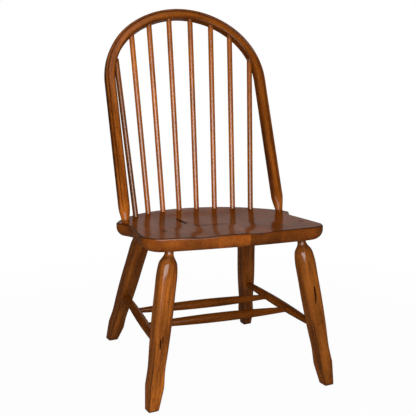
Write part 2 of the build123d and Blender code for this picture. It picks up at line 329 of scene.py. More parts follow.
@dataclass(frozen=True)
class DistressStroke:
    """Effect for one distress mark, a worn stroke between two places on the wood."""

    ragged: Layer = Layer(1.0, 420.0, 2.0)
    ragged_range: Pair = (0.3, 0.7)
    ragged_levels: Pair = (0.7, 1.7)
    taper_range: Pair = (0.0, 0.6)
    taper_widths: Pair = (0.25, 1.0)
    core_share: float = 0.35

    def build(self) -> bpy.types.NodeTree:
        """Make the effect.

        Returns:
            Group with inputs Place, From, To and Width, and output Mask.
        """
        inputs = {"Place": Socket.VECTOR, "From": Socket.VECTOR, "To": Socket.VECTOR,
                  "Width": Socket.NUMBER}
        nodes, start, end = new_group("distress_stroke", "ShaderNodeTree", inputs, {"Mask": Socket.NUMBER})
        given = start.outputs
        rest = nodes.vector("SUBTRACT", given["Place"], given["From"])
        run = nodes.vector("SUBTRACT", given["To"], given["From"])
        share = nodes.maths("DIVIDE", nodes.measure("DOT_PRODUCT", rest, run),
                            nodes.measure("DOT_PRODUCT", run, run), clamp=True)
        away = nodes.measure("LENGTH", nodes.vector("SUBTRACT", rest, nodes.scaled(run, share)))
        ragged = nodes.noise(given["Place"], self.ragged)
        edge = nodes.maths("MULTIPLY", away, nodes.spread(ragged, self.ragged_range, self.ragged_levels))
        # 0 at both ends of the stroke and 1 in its middle
        left = nodes.maths("SUBTRACT", 1.0, share)
        arch = nodes.maths("MULTIPLY", left, nodes.maths("MULTIPLY", share, 4.0))
        taper = nodes.spread(arch, self.taper_range, self.taper_widths)
        width = nodes.maths("MULTIPLY", given["Width"], taper)
        core = nodes.maths("MULTIPLY", width, self.core_share)
        nodes.feed(end.inputs["Mask"], nodes.spread(edge, (core, width), (1.0, 0.0), smooth=True))
        return nodes.tree


@dataclass(frozen=True)
class Stroke:
    """One dark worn mark on the wood."""

    start: Point
    stop: Point
    width: float


@dataclass(frozen=True)
class WoodFinish:
    """Brown stain, dark glazing and painted shade under a coat of lacquer."""

    slot: Slot
    light: Colour
    dark: Colour
    contrast: float
    coat: float
    coat_roughness: float
    relief: float
    coat_ior: float = 1.7
    glaze: Colour = GLAZE_AND_SHADE
    glaze_and_shade_strength: float = 1.0
    roughness: float = 0.42
    roughness_steps: Pair = (-0.05, 0.07)
    gloss_range: Pair = (0.3, 0.7)
    relief_depth: float = 0.0006
    worn: Colour = WORN
    strokes: tuple[Stroke, ...] = ()
    top_coat: Optional[float] = None

    def build(self, groups: dict[str, bpy.types.NodeTree]) -> bpy.types.Material:
        """Make the material.

        Args:
            groups: Shared effects by name.

        Returns:
            The finished material.
        """
        material = bpy.data.materials.new(self.slot.value)
        material.use_nodes = True
        nodes = Nodes(material.node_tree)
        place = nodes.attribute("grain", "Vector")
        grain = nodes.effect(groups["grain"], {
            "Place": place, "Light": (*self.light, 1.0), "Dark": (*self.dark, 1.0),
            "Contrast": self.contrast, "Tint": nodes.attribute("tint"),
        })
        # Dark glazing, and painted shade on some pieces, laid where the mesh's mask says
        edge = nodes.effect(groups["glaze"], {
            "Colour": grain["Colour"], "Glaze": (*self.glaze, 1.0), "Mask": nodes.attribute("glaze"),
            "Strength": self.glaze_and_shade_strength, "Place": place,
        })
        worn = self.worn_mask(nodes, groups["stroke"])
        levels = tuple(self.roughness + step for step in self.roughness_steps)
        height = nodes.maths("SUBTRACT", grain["Height"], worn)
        bump = nodes.add("ShaderNodeBump", {
            "Strength": self.relief, "Distance": self.relief_depth, "Height": height,
        })
        shader = material.node_tree.nodes["Principled BSDF"]
        values = {
            "Base Color": nodes.mix(worn, edge["Colour"], (*self.worn, 1.0)),
            "Roughness": nodes.spread(grain["Gloss"], self.gloss_range, levels),
            "Normal": bump.outputs[0],
            "Specular IOR Level": 0.0,
            "Coat Weight": self.coat_weight(nodes, worn),
            "Coat Roughness": self.coat_roughness,
            "Coat IOR": self.coat_ior,
        }
        for name, value in values.items():
            nodes.feed(shader.inputs[name], value)
        return material

    def worn_mask(self, nodes: Nodes, group: bpy.types.NodeTree) -> object:
        """Join this finish's distress marks into one mask.

        Args:
            nodes: The material's nodes.
            group: The distress mark effect.

        Returns:
            The joined mask, or 0 where the finish has no marks.
        """
        mask: object = 0.0
        if not self.strokes:
            return mask
        where = nodes.add("ShaderNodeTexCoord").outputs["Object"]
        for stroke in self.strokes:
            values = {"Place": where, "From": stroke.start, "To": stroke.stop, "Width": stroke.width}
            mask = nodes.maths("MAXIMUM", mask, nodes.effect(group, values)["Mask"])
        return mask

    def coat_weight(self, nodes: Nodes, worn: object) -> object:
        """Lacquer that is thinner on a worn top and gone from the distress marks.

        Args:
            nodes: The material's nodes.
            worn: Mask of the distress marks.

        Returns:
            Weight of the coat, a number or a socket.
        """
        coat: object = self.coat
        if self.top_coat is not None:
            coat = nodes.spread(nodes.attribute("top"), (0.0, 1.0), (self.coat, self.top_coat))
        if self.strokes:
            coat = nodes.maths("MULTIPLY", coat, nodes.maths("SUBTRACT", 1.0, worn))
        return coat


# Mesh helpers


def new_mesh(name: str, points: np.ndarray, faces: Sequence[Face]) -> bpy.types.Mesh:
    """Make a smooth-shaded mesh from points and faces.

    Args:
        name: Name of the mesh.
        points: Points, three numbers each.
        faces: Numbers of the points round each face.

    Returns:
        The new mesh.
    """
    mesh = bpy.data.meshes.new(name)
    mesh.from_pydata([tuple(point) for point in points], [], faces)
    mesh.polygons.foreach_set("use_smooth", np.ones(len(mesh.polygons), bool))
    mesh.update()
    return mesh


def write_numbers(mesh: bpy.types.Mesh, name: str, values: np.ndarray | float) -> None:
    """Store a number for each point of a mesh.

    Args:
        mesh: Mesh to write to.
        name: Name of the attribute.
        values: One number, or one for each point.
    """
    numbers = np.broadcast_to(np.asarray(values, np.float32), len(mesh.vertices))
    attribute = mesh.attributes.new(name, "FLOAT", "POINT")
    attribute.data.foreach_set("value", np.ascontiguousarray(numbers))


def write_attributes(mesh: bpy.types.Mesh, grain: np.ndarray, glaze: np.ndarray,
                     tint: np.ndarray | float) -> None:
    """Store on a mesh what its finish reads.

    Args:
        mesh: Mesh to write to.
        grain: Place in the board for each point.
        glaze: Amount of dark glazing and painted shade for each point.
        tint: How light the wood is, its tone with painted light and shade on some pieces, one number or one
            for each point.
    """
    attribute = mesh.attributes.new("grain", "FLOAT_VECTOR", "POINT")
    attribute.data.foreach_set("vector", grain.astype(np.float32).ravel())
    write_numbers(mesh, "glaze", glaze)
    write_numbers(mesh, "tint", tint)


def take_attribute(mesh: bpy.types.Mesh, name: str, key: str, width: int) -> np.ndarray:
    """Read an attribute of a mesh's points and remove it.

    Args:
        mesh: Mesh to read.
        name: Name of the attribute.
        key: "value" for numbers, "vector" for vectors.
        width: How many numbers each point has.

    Returns:
        One row of numbers for each point.
    """
    values = np.zeros(width * len(mesh.vertices), np.float32)
    mesh.attributes[name].data.foreach_get(key, values)
    mesh.attributes.remove(mesh.attributes[name])
    return values.reshape(-1, width)


def face_outwards(mesh: bpy.types.Mesh) -> None:
    """Turn all faces of a closed mesh outwards.

    Args:
        mesh: Mesh to change.
    """
    shape = bmesh.new()
    shape.from_mesh(mesh)
    bmesh.ops.recalc_face_normals(shape, faces=shape.faces)
    shape.to_mesh(mesh)
    shape.free()


def place_piece(name: str, mesh: bpy.types.Mesh, material: bpy.types.Material, node: str) -> bpy.types.Object:
    """Put a finished mesh in the scene in place of its node.

    Args:
        name: Name of the piece.
        mesh: Finished mesh.
        material: Its finish.
        node: Node of the frame that the piece stands for.

    Returns:
        The new object.
    """
    if not mesh.materials:
        mesh.materials.append(material)
    piece = bpy.data.objects.new(name, mesh)
    bpy.context.scene.collection.objects.link(piece)
    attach(piece, BODY)
    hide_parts(node)
    LOG.info("%s: %d points, stands for %s", name, len(mesh.vertices), node)
    return piece


def tube_faces(rings: int, sides: int) -> list[Face]:
    """Faces of a closed tube of rings, capped at both ends.

    Args:
        rings: Number of rings.
        sides: Points in each ring.

    Returns:
        Faces that point outwards when the rings turn left as seen from the last ring.
    """
    faces: list[Face] = []
    for ring in range(rings - 1):
        low, high = ring * sides, (ring + 1) * sides
        for side in range(sides):
            beside = (side + 1) % sides
            faces.append((low + side, low + beside, high + beside, high + side))
    faces.append(tuple(reversed(range(sides))))
    faces.append(tuple((rings - 1) * sides + side for side in range(sides)))
    return faces


def bell(distance: np.ndarray | float, reach: float) -> np.ndarray | float:
    """Value that is 1 at no distance and falls off over a reach."""
    return np.exp(-((distance / reach) ** 2))


def eased(places: Sequence[float], values: Sequence[float], at: float) -> float:
    """Read a smooth curve through given values.

    Args:
        places: Rising places of the values.
        values: What the curve passes through.
        at: Where to read it.

    Returns:
        The curve's value there.
    """
    x = np.asarray(places, float)
    y = np.asarray(values, float)
    slope = np.gradient(y, x)
    k = int(np.clip(np.searchsorted(x, at) - 1, 0, len(x) - 2))
    width = x[k + 1] - x[k]
    t = min(max((at - x[k]) / width, 0.0), 1.0)
    start = (1 + 2 * t) * (1 - t) ** 2 * y[k] + t * (1 - t) ** 2 * width * slope[k]
    stop = t**2 * (3 - 2 * t) * y[k + 1] + t**2 * (t - 1) * width * slope[k + 1]
    return float(start + stop)


def blended(first: np.ndarray, second: float, reach: float) -> np.ndarray:
    """Smaller of two values, with a rounded passage from one to the other.

    Args:
        first: First values.
        second: Second value.
        reach: Difference below which the two are blended.

    Returns:
        The blended values.
    """
    share = np.clip(0.5 + 0.5 * (second - first) / reach, 0, 1)
    return second + share * (first - second) - reach * share * (1 - share)


def run_lengths(line: np.ndarray) -> np.ndarray:
    """Distance along a line of points, from its first point to each."""
    steps = np.linalg.norm(np.diff(line, axis=0), axis=1)
    return np.concatenate([[0], np.cumsum(steps)])


def rounded_square(half_width: float, half_depth: float, radius: float, per_corner: int,
                   per_side: int) -> np.ndarray:
    """Outline of a rectangle with rounded corners, turning left.

    Args:
        half_width: Half of its size across.
        half_depth: Half of its size the other way.
        radius: Corner radius.
        per_corner: Steps round each corner.
        per_side: Steps along each side.

    Returns:
        Points, two numbers each, that start at the right end of the lower side.
    """
    arcs: list[np.ndarray] = []
    for sign_x, sign_y, first in ((1, -1, -90), (1, 1, 0), (-1, 1, 90), (-1, -1, 180)):
        turns = np.radians(first + 90 * np.arange(per_corner + 1) / per_corner)
        middle = np.array([sign_x * (half_width - radius), sign_y * (half_depth - radius)])
        arcs.append(middle + radius * np.stack([np.cos(turns), np.sin(turns)], 1))
    share = np.arange(1, per_side)[:, None] / per_side
    points: list[np.ndarray] = []
    for arc, following in zip(arcs, arcs[1:] + arcs[:1]):
        points += [arc, arc[-1] + share * (following[0] - arc[-1])]
    return np.vstack(points)


def round_join(first: np.ndarray, second: np.ndarray, radius: float, count: int = 40) -> np.ndarray:
    """Join two lines of points that meet, with a rounded corner.

    Args:
        first: Points up to the corner.
        second: Points on from the corner.
        radius: Radius of the corner.
        count: Points along the rounded corner, with its ends.

    Returns:
        The joined line.
    """
    before = first[-1] - first[-2]
    after = second[1] - second[0]
    before /= np.linalg.norm(before)
    after /= np.linalg.norm(after)
    turn = math.acos(float(np.clip(before @ after, -1, 1)))
    back = radius * math.tan(turn / 2)
    kept_first = first[np.linalg.norm(first - first[-1], axis=1) > back]
    kept_second = second[np.linalg.norm(second - second[0], axis=1) > back]
    start, stop = kept_first[-1], kept_second[0]
    lead = kept_first[-1] - kept_first[-2]
    trail = kept_second[1] - kept_second[0]
    handle = 4 / 3 * math.tan(turn / 4) * radius
    p1 = start + lead / np.linalg.norm(lead) * handle
    p2 = stop - trail / np.linalg.norm(trail) * handle
    t = np.linspace(0, 1, count)[1:-1, None]
    curve = (1 - t) ** 3 * start + 3 * t * (1 - t) ** 2 * p1 + 3 * t**2 * (1 - t) * p2 + t**3 * stop
    return np.vstack([kept_first, curve, kept_second])


def inside(points: np.ndarray, rim: np.ndarray) -> np.ndarray:
    """Tell which points lie inside a closed plan.

    Args:
        points: Points to test, two numbers each.
        rim: Points round the plan.

    Returns:
        True for each point that lies inside.
    """
    result = np.zeros(len(points), bool)
    for (x0, y0), (x1, y1) in zip(rim, np.roll(rim, -1, 0)):
        crosses = (y0 > points[:, 1]) != (y1 > points[:, 1])
        if crosses.any():
            at = x0 + (points[:, 1] - y0) / (y1 - y0) * (x1 - x0)
            result ^= crosses & (points[:, 0] < at)
    return result


def cut_board(board: bmesh.types.BMesh, place: float, direction: int) -> None:
    """Cut a shape off at a place across, and close the cut.

    Args:
        board: Shape to cut.
        place: Where to cut, across the seat.
        direction: 1 to take away what lies right of the cut, -1 for the left.
    """
    geometry = board.verts[:] + board.edges[:] + board.faces[:]
    result = bmesh.ops.bisect_plane(board, geom=geometry, dist=TOUCH, plane_co=(place, 0, 0),
                                    plane_no=(direction, 0, 0), clear_outer=True)
    cut = [item for item in result["geom_cut"] if isinstance(item, bmesh.types.BMEdge)]
    if cut:
        bmesh.ops.edgeloop_fill(board, edges=cut)


# Sub-assemblies


@dataclass
class Seat:
    """Saddled plank seat, glued up from boards that run front to back."""

    height: float = 0.4565
    tilt: float = math.radians(2.2)
    thickness: float = 0.041
    arc_centre_y: float = -0.065
    rear_radius: float = 0.295
    ear_angle: float = math.radians(72.7)
    ear_radius: float = 0.030
    waist_half_width: float = 0.256
    waist_y: float = -0.032
    waist_radius: float = 0.090
    front_half_width: float = 0.2725
    front_corner_y: float = -0.270
    front_corner_radius: float = 0.062
    front_centre_y: float = -0.290
    top_edge_radius: float = 0.0045
    under_radius: float = 0.028
    joints: tuple[float, ...] = (-0.164, -0.072, 0.020, 0.112, 0.204)
    glue_line: float = 0.00003
    saddle_depth: float = 0.009
    saddle_half_width: float = 0.190
    bowl_y: float = 0.015
    bowl_length: float = 0.120
    groove_depth: float = 0.0035
    groove_spacing: float = 0.082
    groove_half_width: float = 0.038
    groove_start_length: float = 0.032
    pommel_x: float = -0.030
    clearance: float = 0.0002
    # Boards from the left: their own tones, with painted light, lighter over the pommel board and falling off
    # towards the right
    tones_and_shades: tuple[float, ...] = (0.96, 0.84, 1.16, 0.50, 0.76, 0.76)
    top_tint: float = 0.04
    top_share: float = 0.3
    crest_angle: float = math.radians(32)
    glaze_reach: float = 0.0026
    grain_offset: Point = (0.31, 0.17, 0.53)
    line_points: int = 120
    arc_points: int = 160
    outline_points: int = 520
    top_insets: tuple[float, ...] = (0.010, 0.006, 0.003, 0.0015)
    top_edge_steps: int = 8
    side_depths: tuple[float, ...] = (0.006, 0.008, 0.010)
    under_steps: int = 14
    grid_step: float = 0.0075
    grid_gap: float = 0.6
    cut_facing: float = 0.999

    def turned(self, directions: np.ndarray) -> np.ndarray:
        """Turn directions from the seat's own plane to the frame.

        Args:
            directions: Directions, three numbers each.

        Returns:
            The same directions in the frame.
        """
        c, s = math.cos(self.tilt), math.sin(self.tilt)
        x, y, z = directions.T
        return np.stack([x, y * c + z * s, z * c - y * s], 1)

    def to_world(self, points: np.ndarray) -> np.ndarray:
        """Move points from the seat's own plane to the frame."""
        return self.turned(points) + np.array([0.0, MIDDLE_SHIFT, self.height])

    def top_point(self, x: float, y: float) -> np.ndarray:
        """Point of the flat seat plane over a place in plan."""
        return np.array([x, y + MIDDLE_SHIFT, self.height - math.tan(self.tilt) * y])

    def under_point(self, x: float, y: float) -> np.ndarray:
        """Point of the underside below a place in plan."""
        return self.top_point(x, y) - np.array([0, 0, self.thickness / math.cos(self.tilt)])

    def half_outline(self) -> np.ndarray:
        """Right half of the plan.

        Returns:
            Points from the middle of the front to the middle of the rear.
        """
        rise = self.front_corner_y - self.front_centre_y
        front_radius = (self.front_half_width**2 + rise**2) / (2 * rise)
        turns = np.linspace(0, math.asin(self.front_half_width / front_radius), self.line_points)
        front = np.stack([front_radius * np.sin(turns),
                          self.front_centre_y + front_radius * (1 - np.cos(turns))], 1)
        turns = np.linspace(self.ear_angle, 0, self.arc_points)
        rear = np.stack([self.rear_radius * np.sin(turns),
                         self.arc_centre_y + self.rear_radius * np.cos(turns)], 1)
        waist = np.array([self.waist_half_width, self.waist_y])
        share = np.linspace(0, 1, self.line_points)[:, None]
        side = front[-1] + share * (waist - front[-1])
        neck = waist + share * (rear[0] - waist)
        path = round_join(front, side, self.front_corner_radius)
        path = round_join(path, neck, self.waist_radius)
        return round_join(path, rear, self.ear_radius)

    def outline(self) -> tuple[np.ndarray, np.ndarray]:
        """Whole plan, turning left as seen from above.

        Returns:
            Evenly spaced points, and the outward direction at each.
        """
        half = self.half_outline()
        whole = np.vstack([half, (half * [-1, 1])[::-1][1:-1]])
        loop = np.vstack([whole, whole[:1]])
        length = run_lengths(loop)
        at = np.linspace(0, length[-1], self.outline_points, endpoint=False)
        points = np.stack([np.interp(at, length, loop[:, k]) for k in range(2)], 1)
        ahead = np.roll(points, -1, 0) - np.roll(points, 1, 0)
        ahead /= np.linalg.norm(ahead, axis=1, keepdims=True)
        return points, np.stack([ahead[:, 1], -ahead[:, 0]], 1)

    def drop(self, x: np.ndarray, y: np.ndarray) -> np.ndarray:
        """Depth of the saddle below the seat plane.

        Args:
            x: Places across.
            y: Places from front to back.

        Returns:
            The depth at each place.
        """
        across = np.exp(-((x / self.saddle_half_width) ** 4))
        bowl = across * np.exp(-(((y - self.bowl_y) / self.bowl_length) ** 4))
        forward = 1 / (1 + np.exp((y - self.bowl_y) / self.groove_start_length))
        left = bell(x - self.pommel_x + self.groove_spacing, self.groove_half_width)
        right = bell(x - self.pommel_x - self.groove_spacing, self.groove_half_width)
        return self.saddle_depth * bowl + self.groove_depth * (left + right) * forward * (1 - bowl)

    def edge_profile(self) -> list[tuple[float, float, float]]:
        """Edge from the top inwards to the underside.

        Returns:
            Inset from the plan, depth under the top, and run from the crest of the edge.
        """
        r, big = self.top_edge_radius, self.under_radius
        straight = self.thickness - big
        profile = [(r + inset, 0.0, inset) for inset in self.top_insets]
        for step in range(self.top_edge_steps + 1):
            angle = math.radians(90 * step / self.top_edge_steps)
            inset, depth = r - r * math.sin(angle), r - r * math.cos(angle)
            profile.append((inset, depth, r * abs(angle - self.crest_angle)))
        profile += [(0.0, depth, depth) for depth in self.side_depths]
        for step in range(self.under_steps + 1):
            angle = math.radians(90 * step / self.under_steps)
            inset, depth = big - big * math.cos(angle), straight + big * math.sin(angle)
            profile.append((inset, depth, straight + big * angle))
        return profile

    def filled(self, rim: np.ndarray) -> tuple[np.ndarray, list[Face]]:
        """Fill a closed plan with even triangles.

        Args:
            rim: Points of the plan, turning left.

        Returns:
            Points, the rim's first, and faces that point up.
        """
        low, high = rim.min(0), rim.max(0)
        columns = np.arange(low[0], high[0], self.grid_step)
        rows = np.arange(low[1], high[1], self.grid_step * math.sqrt(3) / 2)
        shift = self.grid_step / 2
        grid = np.array([(x + (k % 2) * shift, y) for k, y in enumerate(rows) for x in columns])
        gap = np.linalg.norm(grid[:, None] - rim[None], axis=2).min(1)
        grid = grid[(gap > self.grid_gap * self.grid_step) & inside(grid, rim)]
        points = [Vector(point) for point in np.vstack([rim, grid])]
        edges = [(k, (k + 1) % len(rim)) for k in range(len(rim))]
        inner_triangles = 1
        result = delaunay_2d_cdt(points, edges, [], inner_triangles, TOUCH)
        return np.array([tuple(point) for point in result[0]]), [tuple(face) for face in result[2]]

    def skin(self) -> tuple[np.ndarray, np.ndarray, list[Face]]:
        """Closed surface of the whole seat in its own plane.

        Returns:
            Points, the glaze at each, and faces.
        """
        plan, outward = self.outline()
        profile = self.edge_profile()
        points: list[np.ndarray] = []
        glaze: list[np.ndarray] = []
        for inset, depth, run in profile:
            ring = plan - (inset + self.clearance) * outward
            sunk = self.drop(ring[:, 0], ring[:, 1]) * max(0.0, 1 - depth / self.under_radius)
            points.append(np.column_stack([ring, -depth - sunk]))
            glaze.append(np.full(len(ring), bell(run, self.glaze_reach)))
        sides = len(plan)
        faces: list[Face] = []
        for ring in range(len(profile) - 1):
            high, low = ring * sides, (ring + 1) * sides
            for side in range(sides):
                beside = (side + 1) % sides
                faces.append((high + side, low + side, low + beside, high + beside))
        count = len(profile) * sides
        for ring, under in ((0, False), (len(profile) - 1, True)):
            flat, cells = self.filled(points[ring][:, :2])
            extra = flat[sides:]
            depth = np.full(len(extra), self.thickness) if under else self.drop(extra[:, 0], extra[:, 1])
            points.append(np.column_stack([extra, -depth]))
            glaze.append(np.zeros(len(extra)))
            index = np.concatenate([np.arange(sides) + ring * sides, np.arange(len(extra)) + count])
            count += len(extra)
            for cell in cells:
                face = tuple(int(index[k]) for k in cell)
                faces.append(tuple(reversed(face)) if under else face)
        return np.vstack(points), np.concatenate(glaze), faces

    def blank(self) -> bmesh.types.BMesh:
        """Whole seat before it is cut into boards.

        Returns:
            Closed shape in the seat's own plane, with its glaze and its normals on layers.
        """
        points, amounts, faces = self.skin()
        shape = bmesh.new()
        glaze = shape.verts.layers.float.new("glaze")
        smooth = shape.verts.layers.float_vector.new("smooth")
        for point, amount in zip(points, amounts):
            shape.verts.new(point)[glaze] = float(amount)
        shape.verts.ensure_lookup_table()
        for face in faces:
            shape.faces.new([shape.verts[k] for k in face])
        bmesh.ops.recalc_face_normals(shape, faces=shape.faces)
        shape.normal_update()
        for vertex in shape.verts:
            vertex[smooth] = vertex.normal
        return shape

    def keep_normals(self, mesh: bpy.types.Mesh, normals: np.ndarray) -> None:
        """Shade a board as part of the whole plank, so that its joints show no crease.

        Args:
            mesh: The board, already in its place.
            normals: Normal of the whole plank at each point, in the seat's own plane.
        """
        turned = self.turned(normals)
        corners: list[tuple[float, ...]] = []
        for polygon in mesh.polygons:
            plain = tuple(polygon.normal)
            corners += [tuple(turned[k]) if polygon.use_smooth else plain for k in polygon.vertices]
        mesh.normals_split_custom_set(corners)

    def dress(self, mesh: bpy.types.Mesh, tint: float) -> None:
        """Give a board its finish's attributes and its shading, and move it to its place.

        Args:
            mesh: The board in the seat's own plane, with the layers of the blank.
            tint: How light the board is, its tone with painted light that falls off to the right.
        """
        points = np.array([vertex.co for vertex in mesh.vertices])
        glaze = take_attribute(mesh, "glaze", "value", 1)[:, 0]
        normals = take_attribute(mesh, "smooth", "vector", 3)
        sunk = -points[:, 2] - self.drop(points[:, 0], points[:, 1])
        edge = np.clip(sunk / self.top_edge_radius, 0.0, 1.0)
        light = 1 + (tint - 1) * np.maximum(edge, self.top_tint)
        write_attributes(mesh, points[:, [0, 2, 1]] + np.array(self.grain_offset), glaze, light)
        write_numbers(mesh, "top", np.clip(1 - sunk / (self.top_share * self.top_edge_radius), 0, 1))
        mesh.vertices.foreach_set("co", self.to_world(points).ravel())
        smooth = np.array([abs(polygon.normal.x) < self.cut_facing for polygon in mesh.polygons])
        mesh.polygons.foreach_set("use_smooth", smooth)
        mesh.update()
        self.keep_normals(mesh, normals)

    def build(self, material: bpy.types.Material) -> None:
        """Cut the seat into its boards and place them.

        Args:
            material: The seat's finish.
        """
        whole = self.blank()
        reach = 2 * self.rear_radius
        cuts = (-reach, *self.joints, reach)
        for number, (left, right) in enumerate(zip(cuts, cuts[1:]), 1):
            board = whole.copy()
            cut_board(board, left + self.glue_line / 2, -1)
            cut_board(board, right - self.glue_line / 2, 1)
            mesh = bpy.data.meshes.new(f"seat_board_{number}_mesh")
            board.to_mesh(mesh)
            board.free()
            self.dress(mesh, self.tones_and_shades[number - 1])
            place_piece(f"seat_plank_{number}", mesh, material, f"seat_board_{number}")
        whole.free()


@dataclass
class Bow:
    """Bent bow with a bead and a groove along its front, and turned-down feet."""

    foot_y: float = 0.029
    recline: float = math.radians(22.6)
    half_width: float = 0.2503
    shoulder_radius: float = 0.215
    crown_half_angle: float = math.radians(39.2)
    rise: float = 0.671
    width: float = 0.0310
    depth: float = 0.030
    edge_radius: float = 0.005
    bead_width: float = 0.0085
    groove_width: float = 0.0036
    groove_depth: float = 0.0020
    groove_lip: float = 0.0002
    groove_land: float = 0.0012
    groove_flank: Pair = (0.55, 0.75)
    foot_diameter: float = 0.023
    foot_straight: float = 0.006
    foot_taper: float = 0.056
    foot_trim_diameter: float = 0.044
    tenon: float = 0.026
    # Painted shade on the inner face, under the crown and inside the posts
    inner_glaze: float = 0.5
    # Painted shade on the outer side of the left post, which faces away from the lamp, by share of the run
    # along the bow
    outer_glaze: tuple[float, ...] = (0.6, 0.6, 0.0, 0.0)
    outer_places: tuple[float, ...] = (0.0, 0.3, 0.48, 1.0)
    outer_share: float = 0.4
    groove_glaze: float = 0.75
    groove_glaze_share: float = 0.75
    groove_glaze_depth: float = 0.003
    # Darker bands along the edges
    edge_glaze: float = 0.8
    edge_darkening_reach: float = 1.1
    foot_glaze: float = 0.8
    foot_glaze_reach: float = 0.004
    glaze_and_shade_fade: Pair = (0.03, 0.07)
    # Painted light: the bow is lighter at its left foot and darker towards its right foot, as the lamp's
    # light falls off
    tones_and_shades: tuple[float, ...] = (1.20, 0.96, 0.84)
    shade_places: tuple[float, ...] = (0.0, 0.3, 1.0)
    grain_offset: Point = (0.07, 0.21, 0.0)
    corner_steps: int = 6
    side_steps: int = 8
    face_shares: tuple[float, ...] = (0.08, 0.25, 0.45, 0.65, 0.85, 1.0)
    foot_levels: tuple[float, ...] = (-0.012, -0.004, 0.0, 0.003)
    taper_points: int = 20
    post_points: int = 34
    arc_points: int = 121
    seat: Seat = field(default_factory=Seat)

    @property
    def crown_radius(self) -> float:
        """Radius of the flatter crown arc."""
        step = (self.half_width - self.shoulder_radius) / math.sin(self.crown_half_angle)
        return self.shoulder_radius + step

    @property
    def shoulder_height(self) -> float:
        """Height in the bow's plane where the straight posts end."""
        step = self.crown_radius - self.shoulder_radius
        return self.rise - self.crown_radius + step * math.cos(self.crown_half_angle)

    def axes(self) -> tuple[np.ndarray, np.ndarray, np.ndarray]:
        """Plane of the bow.

        Returns:
            Its origin, its upward direction and its front direction.
        """
        origin = self.seat.top_point(0.0, self.foot_y)
        up = np.array([0, math.sin(self.recline), math.cos(self.recline)])
        front = np.array([0, -math.cos(self.recline), math.sin(self.recline)])
        return origin, up, front

    def plane_point(self, turn: float, inset: float = 0.0) -> Pair:
        """Point of the bow's line where it has turned from the crown.

        Args:
            turn: Angle from the crown, to the right.
            inset: Distance inwards from the centre line.

        Returns:
            Place across and height in the bow's plane.
        """
        size = abs(turn)
        if size <= self.crown_half_angle:
            radius = self.crown_radius - inset
            across = radius * math.sin(size)
            height = self.rise - self.crown_radius + radius * math.cos(size)
        else:
            radius = self.shoulder_radius - inset
            across = self.half_width - self.shoulder_radius + radius * math.sin(size)
            height = self.shoulder_height + radius * math.cos(size)
        return math.copysign(across, turn), height

    def inner_point(self, distance: float) -> Pair:
        """Point of the inner edge, right of the crown.

        Args:
            distance: Distance along the inner edge from the middle of the crown.

        Returns:
            Place across and height in the bow's plane.
        """
        inset = self.width / 2
        crown = (self.crown_radius - inset) * self.crown_half_angle
        if distance <= crown:
            return self.plane_point(distance / (self.crown_radius - inset), inset)
        beyond = (distance - crown) / (self.shoulder_radius - inset)
        return self.plane_point(self.crown_half_angle + beyond, inset)

    def to_world(self, across: float, height: float) -> np.ndarray:
        """Move a place in the bow's plane to the frame."""
        origin, up, _ = self.axes()
        return origin + np.array([across, 0, 0]) + height * up

    def section(self) -> np.ndarray:
        """Cross section of the bow.

        Returns:
            Points outward and forward, starting with the front face.
        """
        a, b, r = self.width / 2, self.depth / 2, self.edge_radius
        path = rounded_square(a, b, r, self.corner_steps, self.side_steps)
        rest = path[b - path[:, 1] > TOUCH]
        beyond = np.arctan2(rest[:, 1], rest[:, 0]) > math.pi / 2
        rest = np.roll(rest, -int(np.argmax(beyond)), 0)
        groove, half = a - self.bead_width, self.groove_width / 2
        flank, flank_depth = half * self.groove_flank[0], self.groove_depth * self.groove_flank[1]
        face = [(a - r, b), (groove + half + self.groove_land, b)]
        face += [(groove + half, b - self.groove_lip), (groove + flank, b - flank_depth)]
        face += [(groove, b - self.groove_depth)]
        face += [(groove - flank, b - flank_depth), (groove - half, b - self.groove_lip)]
        face += [(groove - half - share * (groove - half + a - r), b) for share in self.face_shares]
        return np.vstack([np.array(face), rest])

    def section_glaze(self, section: np.ndarray) -> np.ndarray:
        """Dark glazing in the groove, darker edges, and painted shade on the inner face.

        Args:
            section: Points of the cross section.

        Returns:
            The amount at each point.
        """
        a, b, r = self.width / 2, self.depth / 2, self.edge_radius
        outward, forward = section.T
        line = bell(outward - (a - self.bead_width), self.groove_glaze_share * self.groove_width)
        groove = self.groove_glaze * line * (forward > b - self.groove_glaze_depth)
        beside, ahead = (a - np.abs(outward)) / r, (b - np.abs(forward)) / r
        edge = np.clip(1 - np.maximum(beside, ahead) / self.edge_darkening_reach, 0, 1)
        edge *= np.clip(1 - np.minimum(beside, ahead), 0, 1) * self.edge_glaze
        # Painted shade on the inner face
        inner = np.where(outward < r - a, self.inner_glaze, 0)
        return np.maximum(np.maximum(groove, edge), inner)

    def stations(self) -> list[tuple[float, float, float, float]]:
        """Places of the sections along the bow.

        Returns:
            Place across, height, turn and length so far.
        """
        taper_end = self.foot_straight + self.foot_taper
        rise = [-self.tenon, *self.foot_levels, self.foot_straight]
        rise += list(np.linspace(self.foot_straight, taper_end, self.taper_points)[1:])
        rise += list(np.linspace(taper_end, self.shoulder_height, self.post_points)[1:])
        quarter = math.pi / 2
        places = [(-self.half_width, height, -quarter) for height in rise]
        for turn in np.linspace(-quarter, quarter, self.arc_points)[1:-1]:
            places.append((*self.plane_point(float(turn)), float(turn)))
        places += [(self.half_width, height, quarter) for height in reversed(rise)]
        run = run_lengths(np.array([place[:2] for place in places]))
        return [(*place, float(length)) for place, length in zip(places, run)]

    def foot_radius(self, height: float) -> float:
        """Radius that the foot is turned to.

        Args:
            height: Height above the seat, along the post.

        Returns:
            The radius there.
        """
        share = (height - self.foot_straight) / self.foot_taper
        small, big = self.foot_diameter / 2, self.foot_trim_diameter / 2
        return small + max(0.0, share) * (big - small)

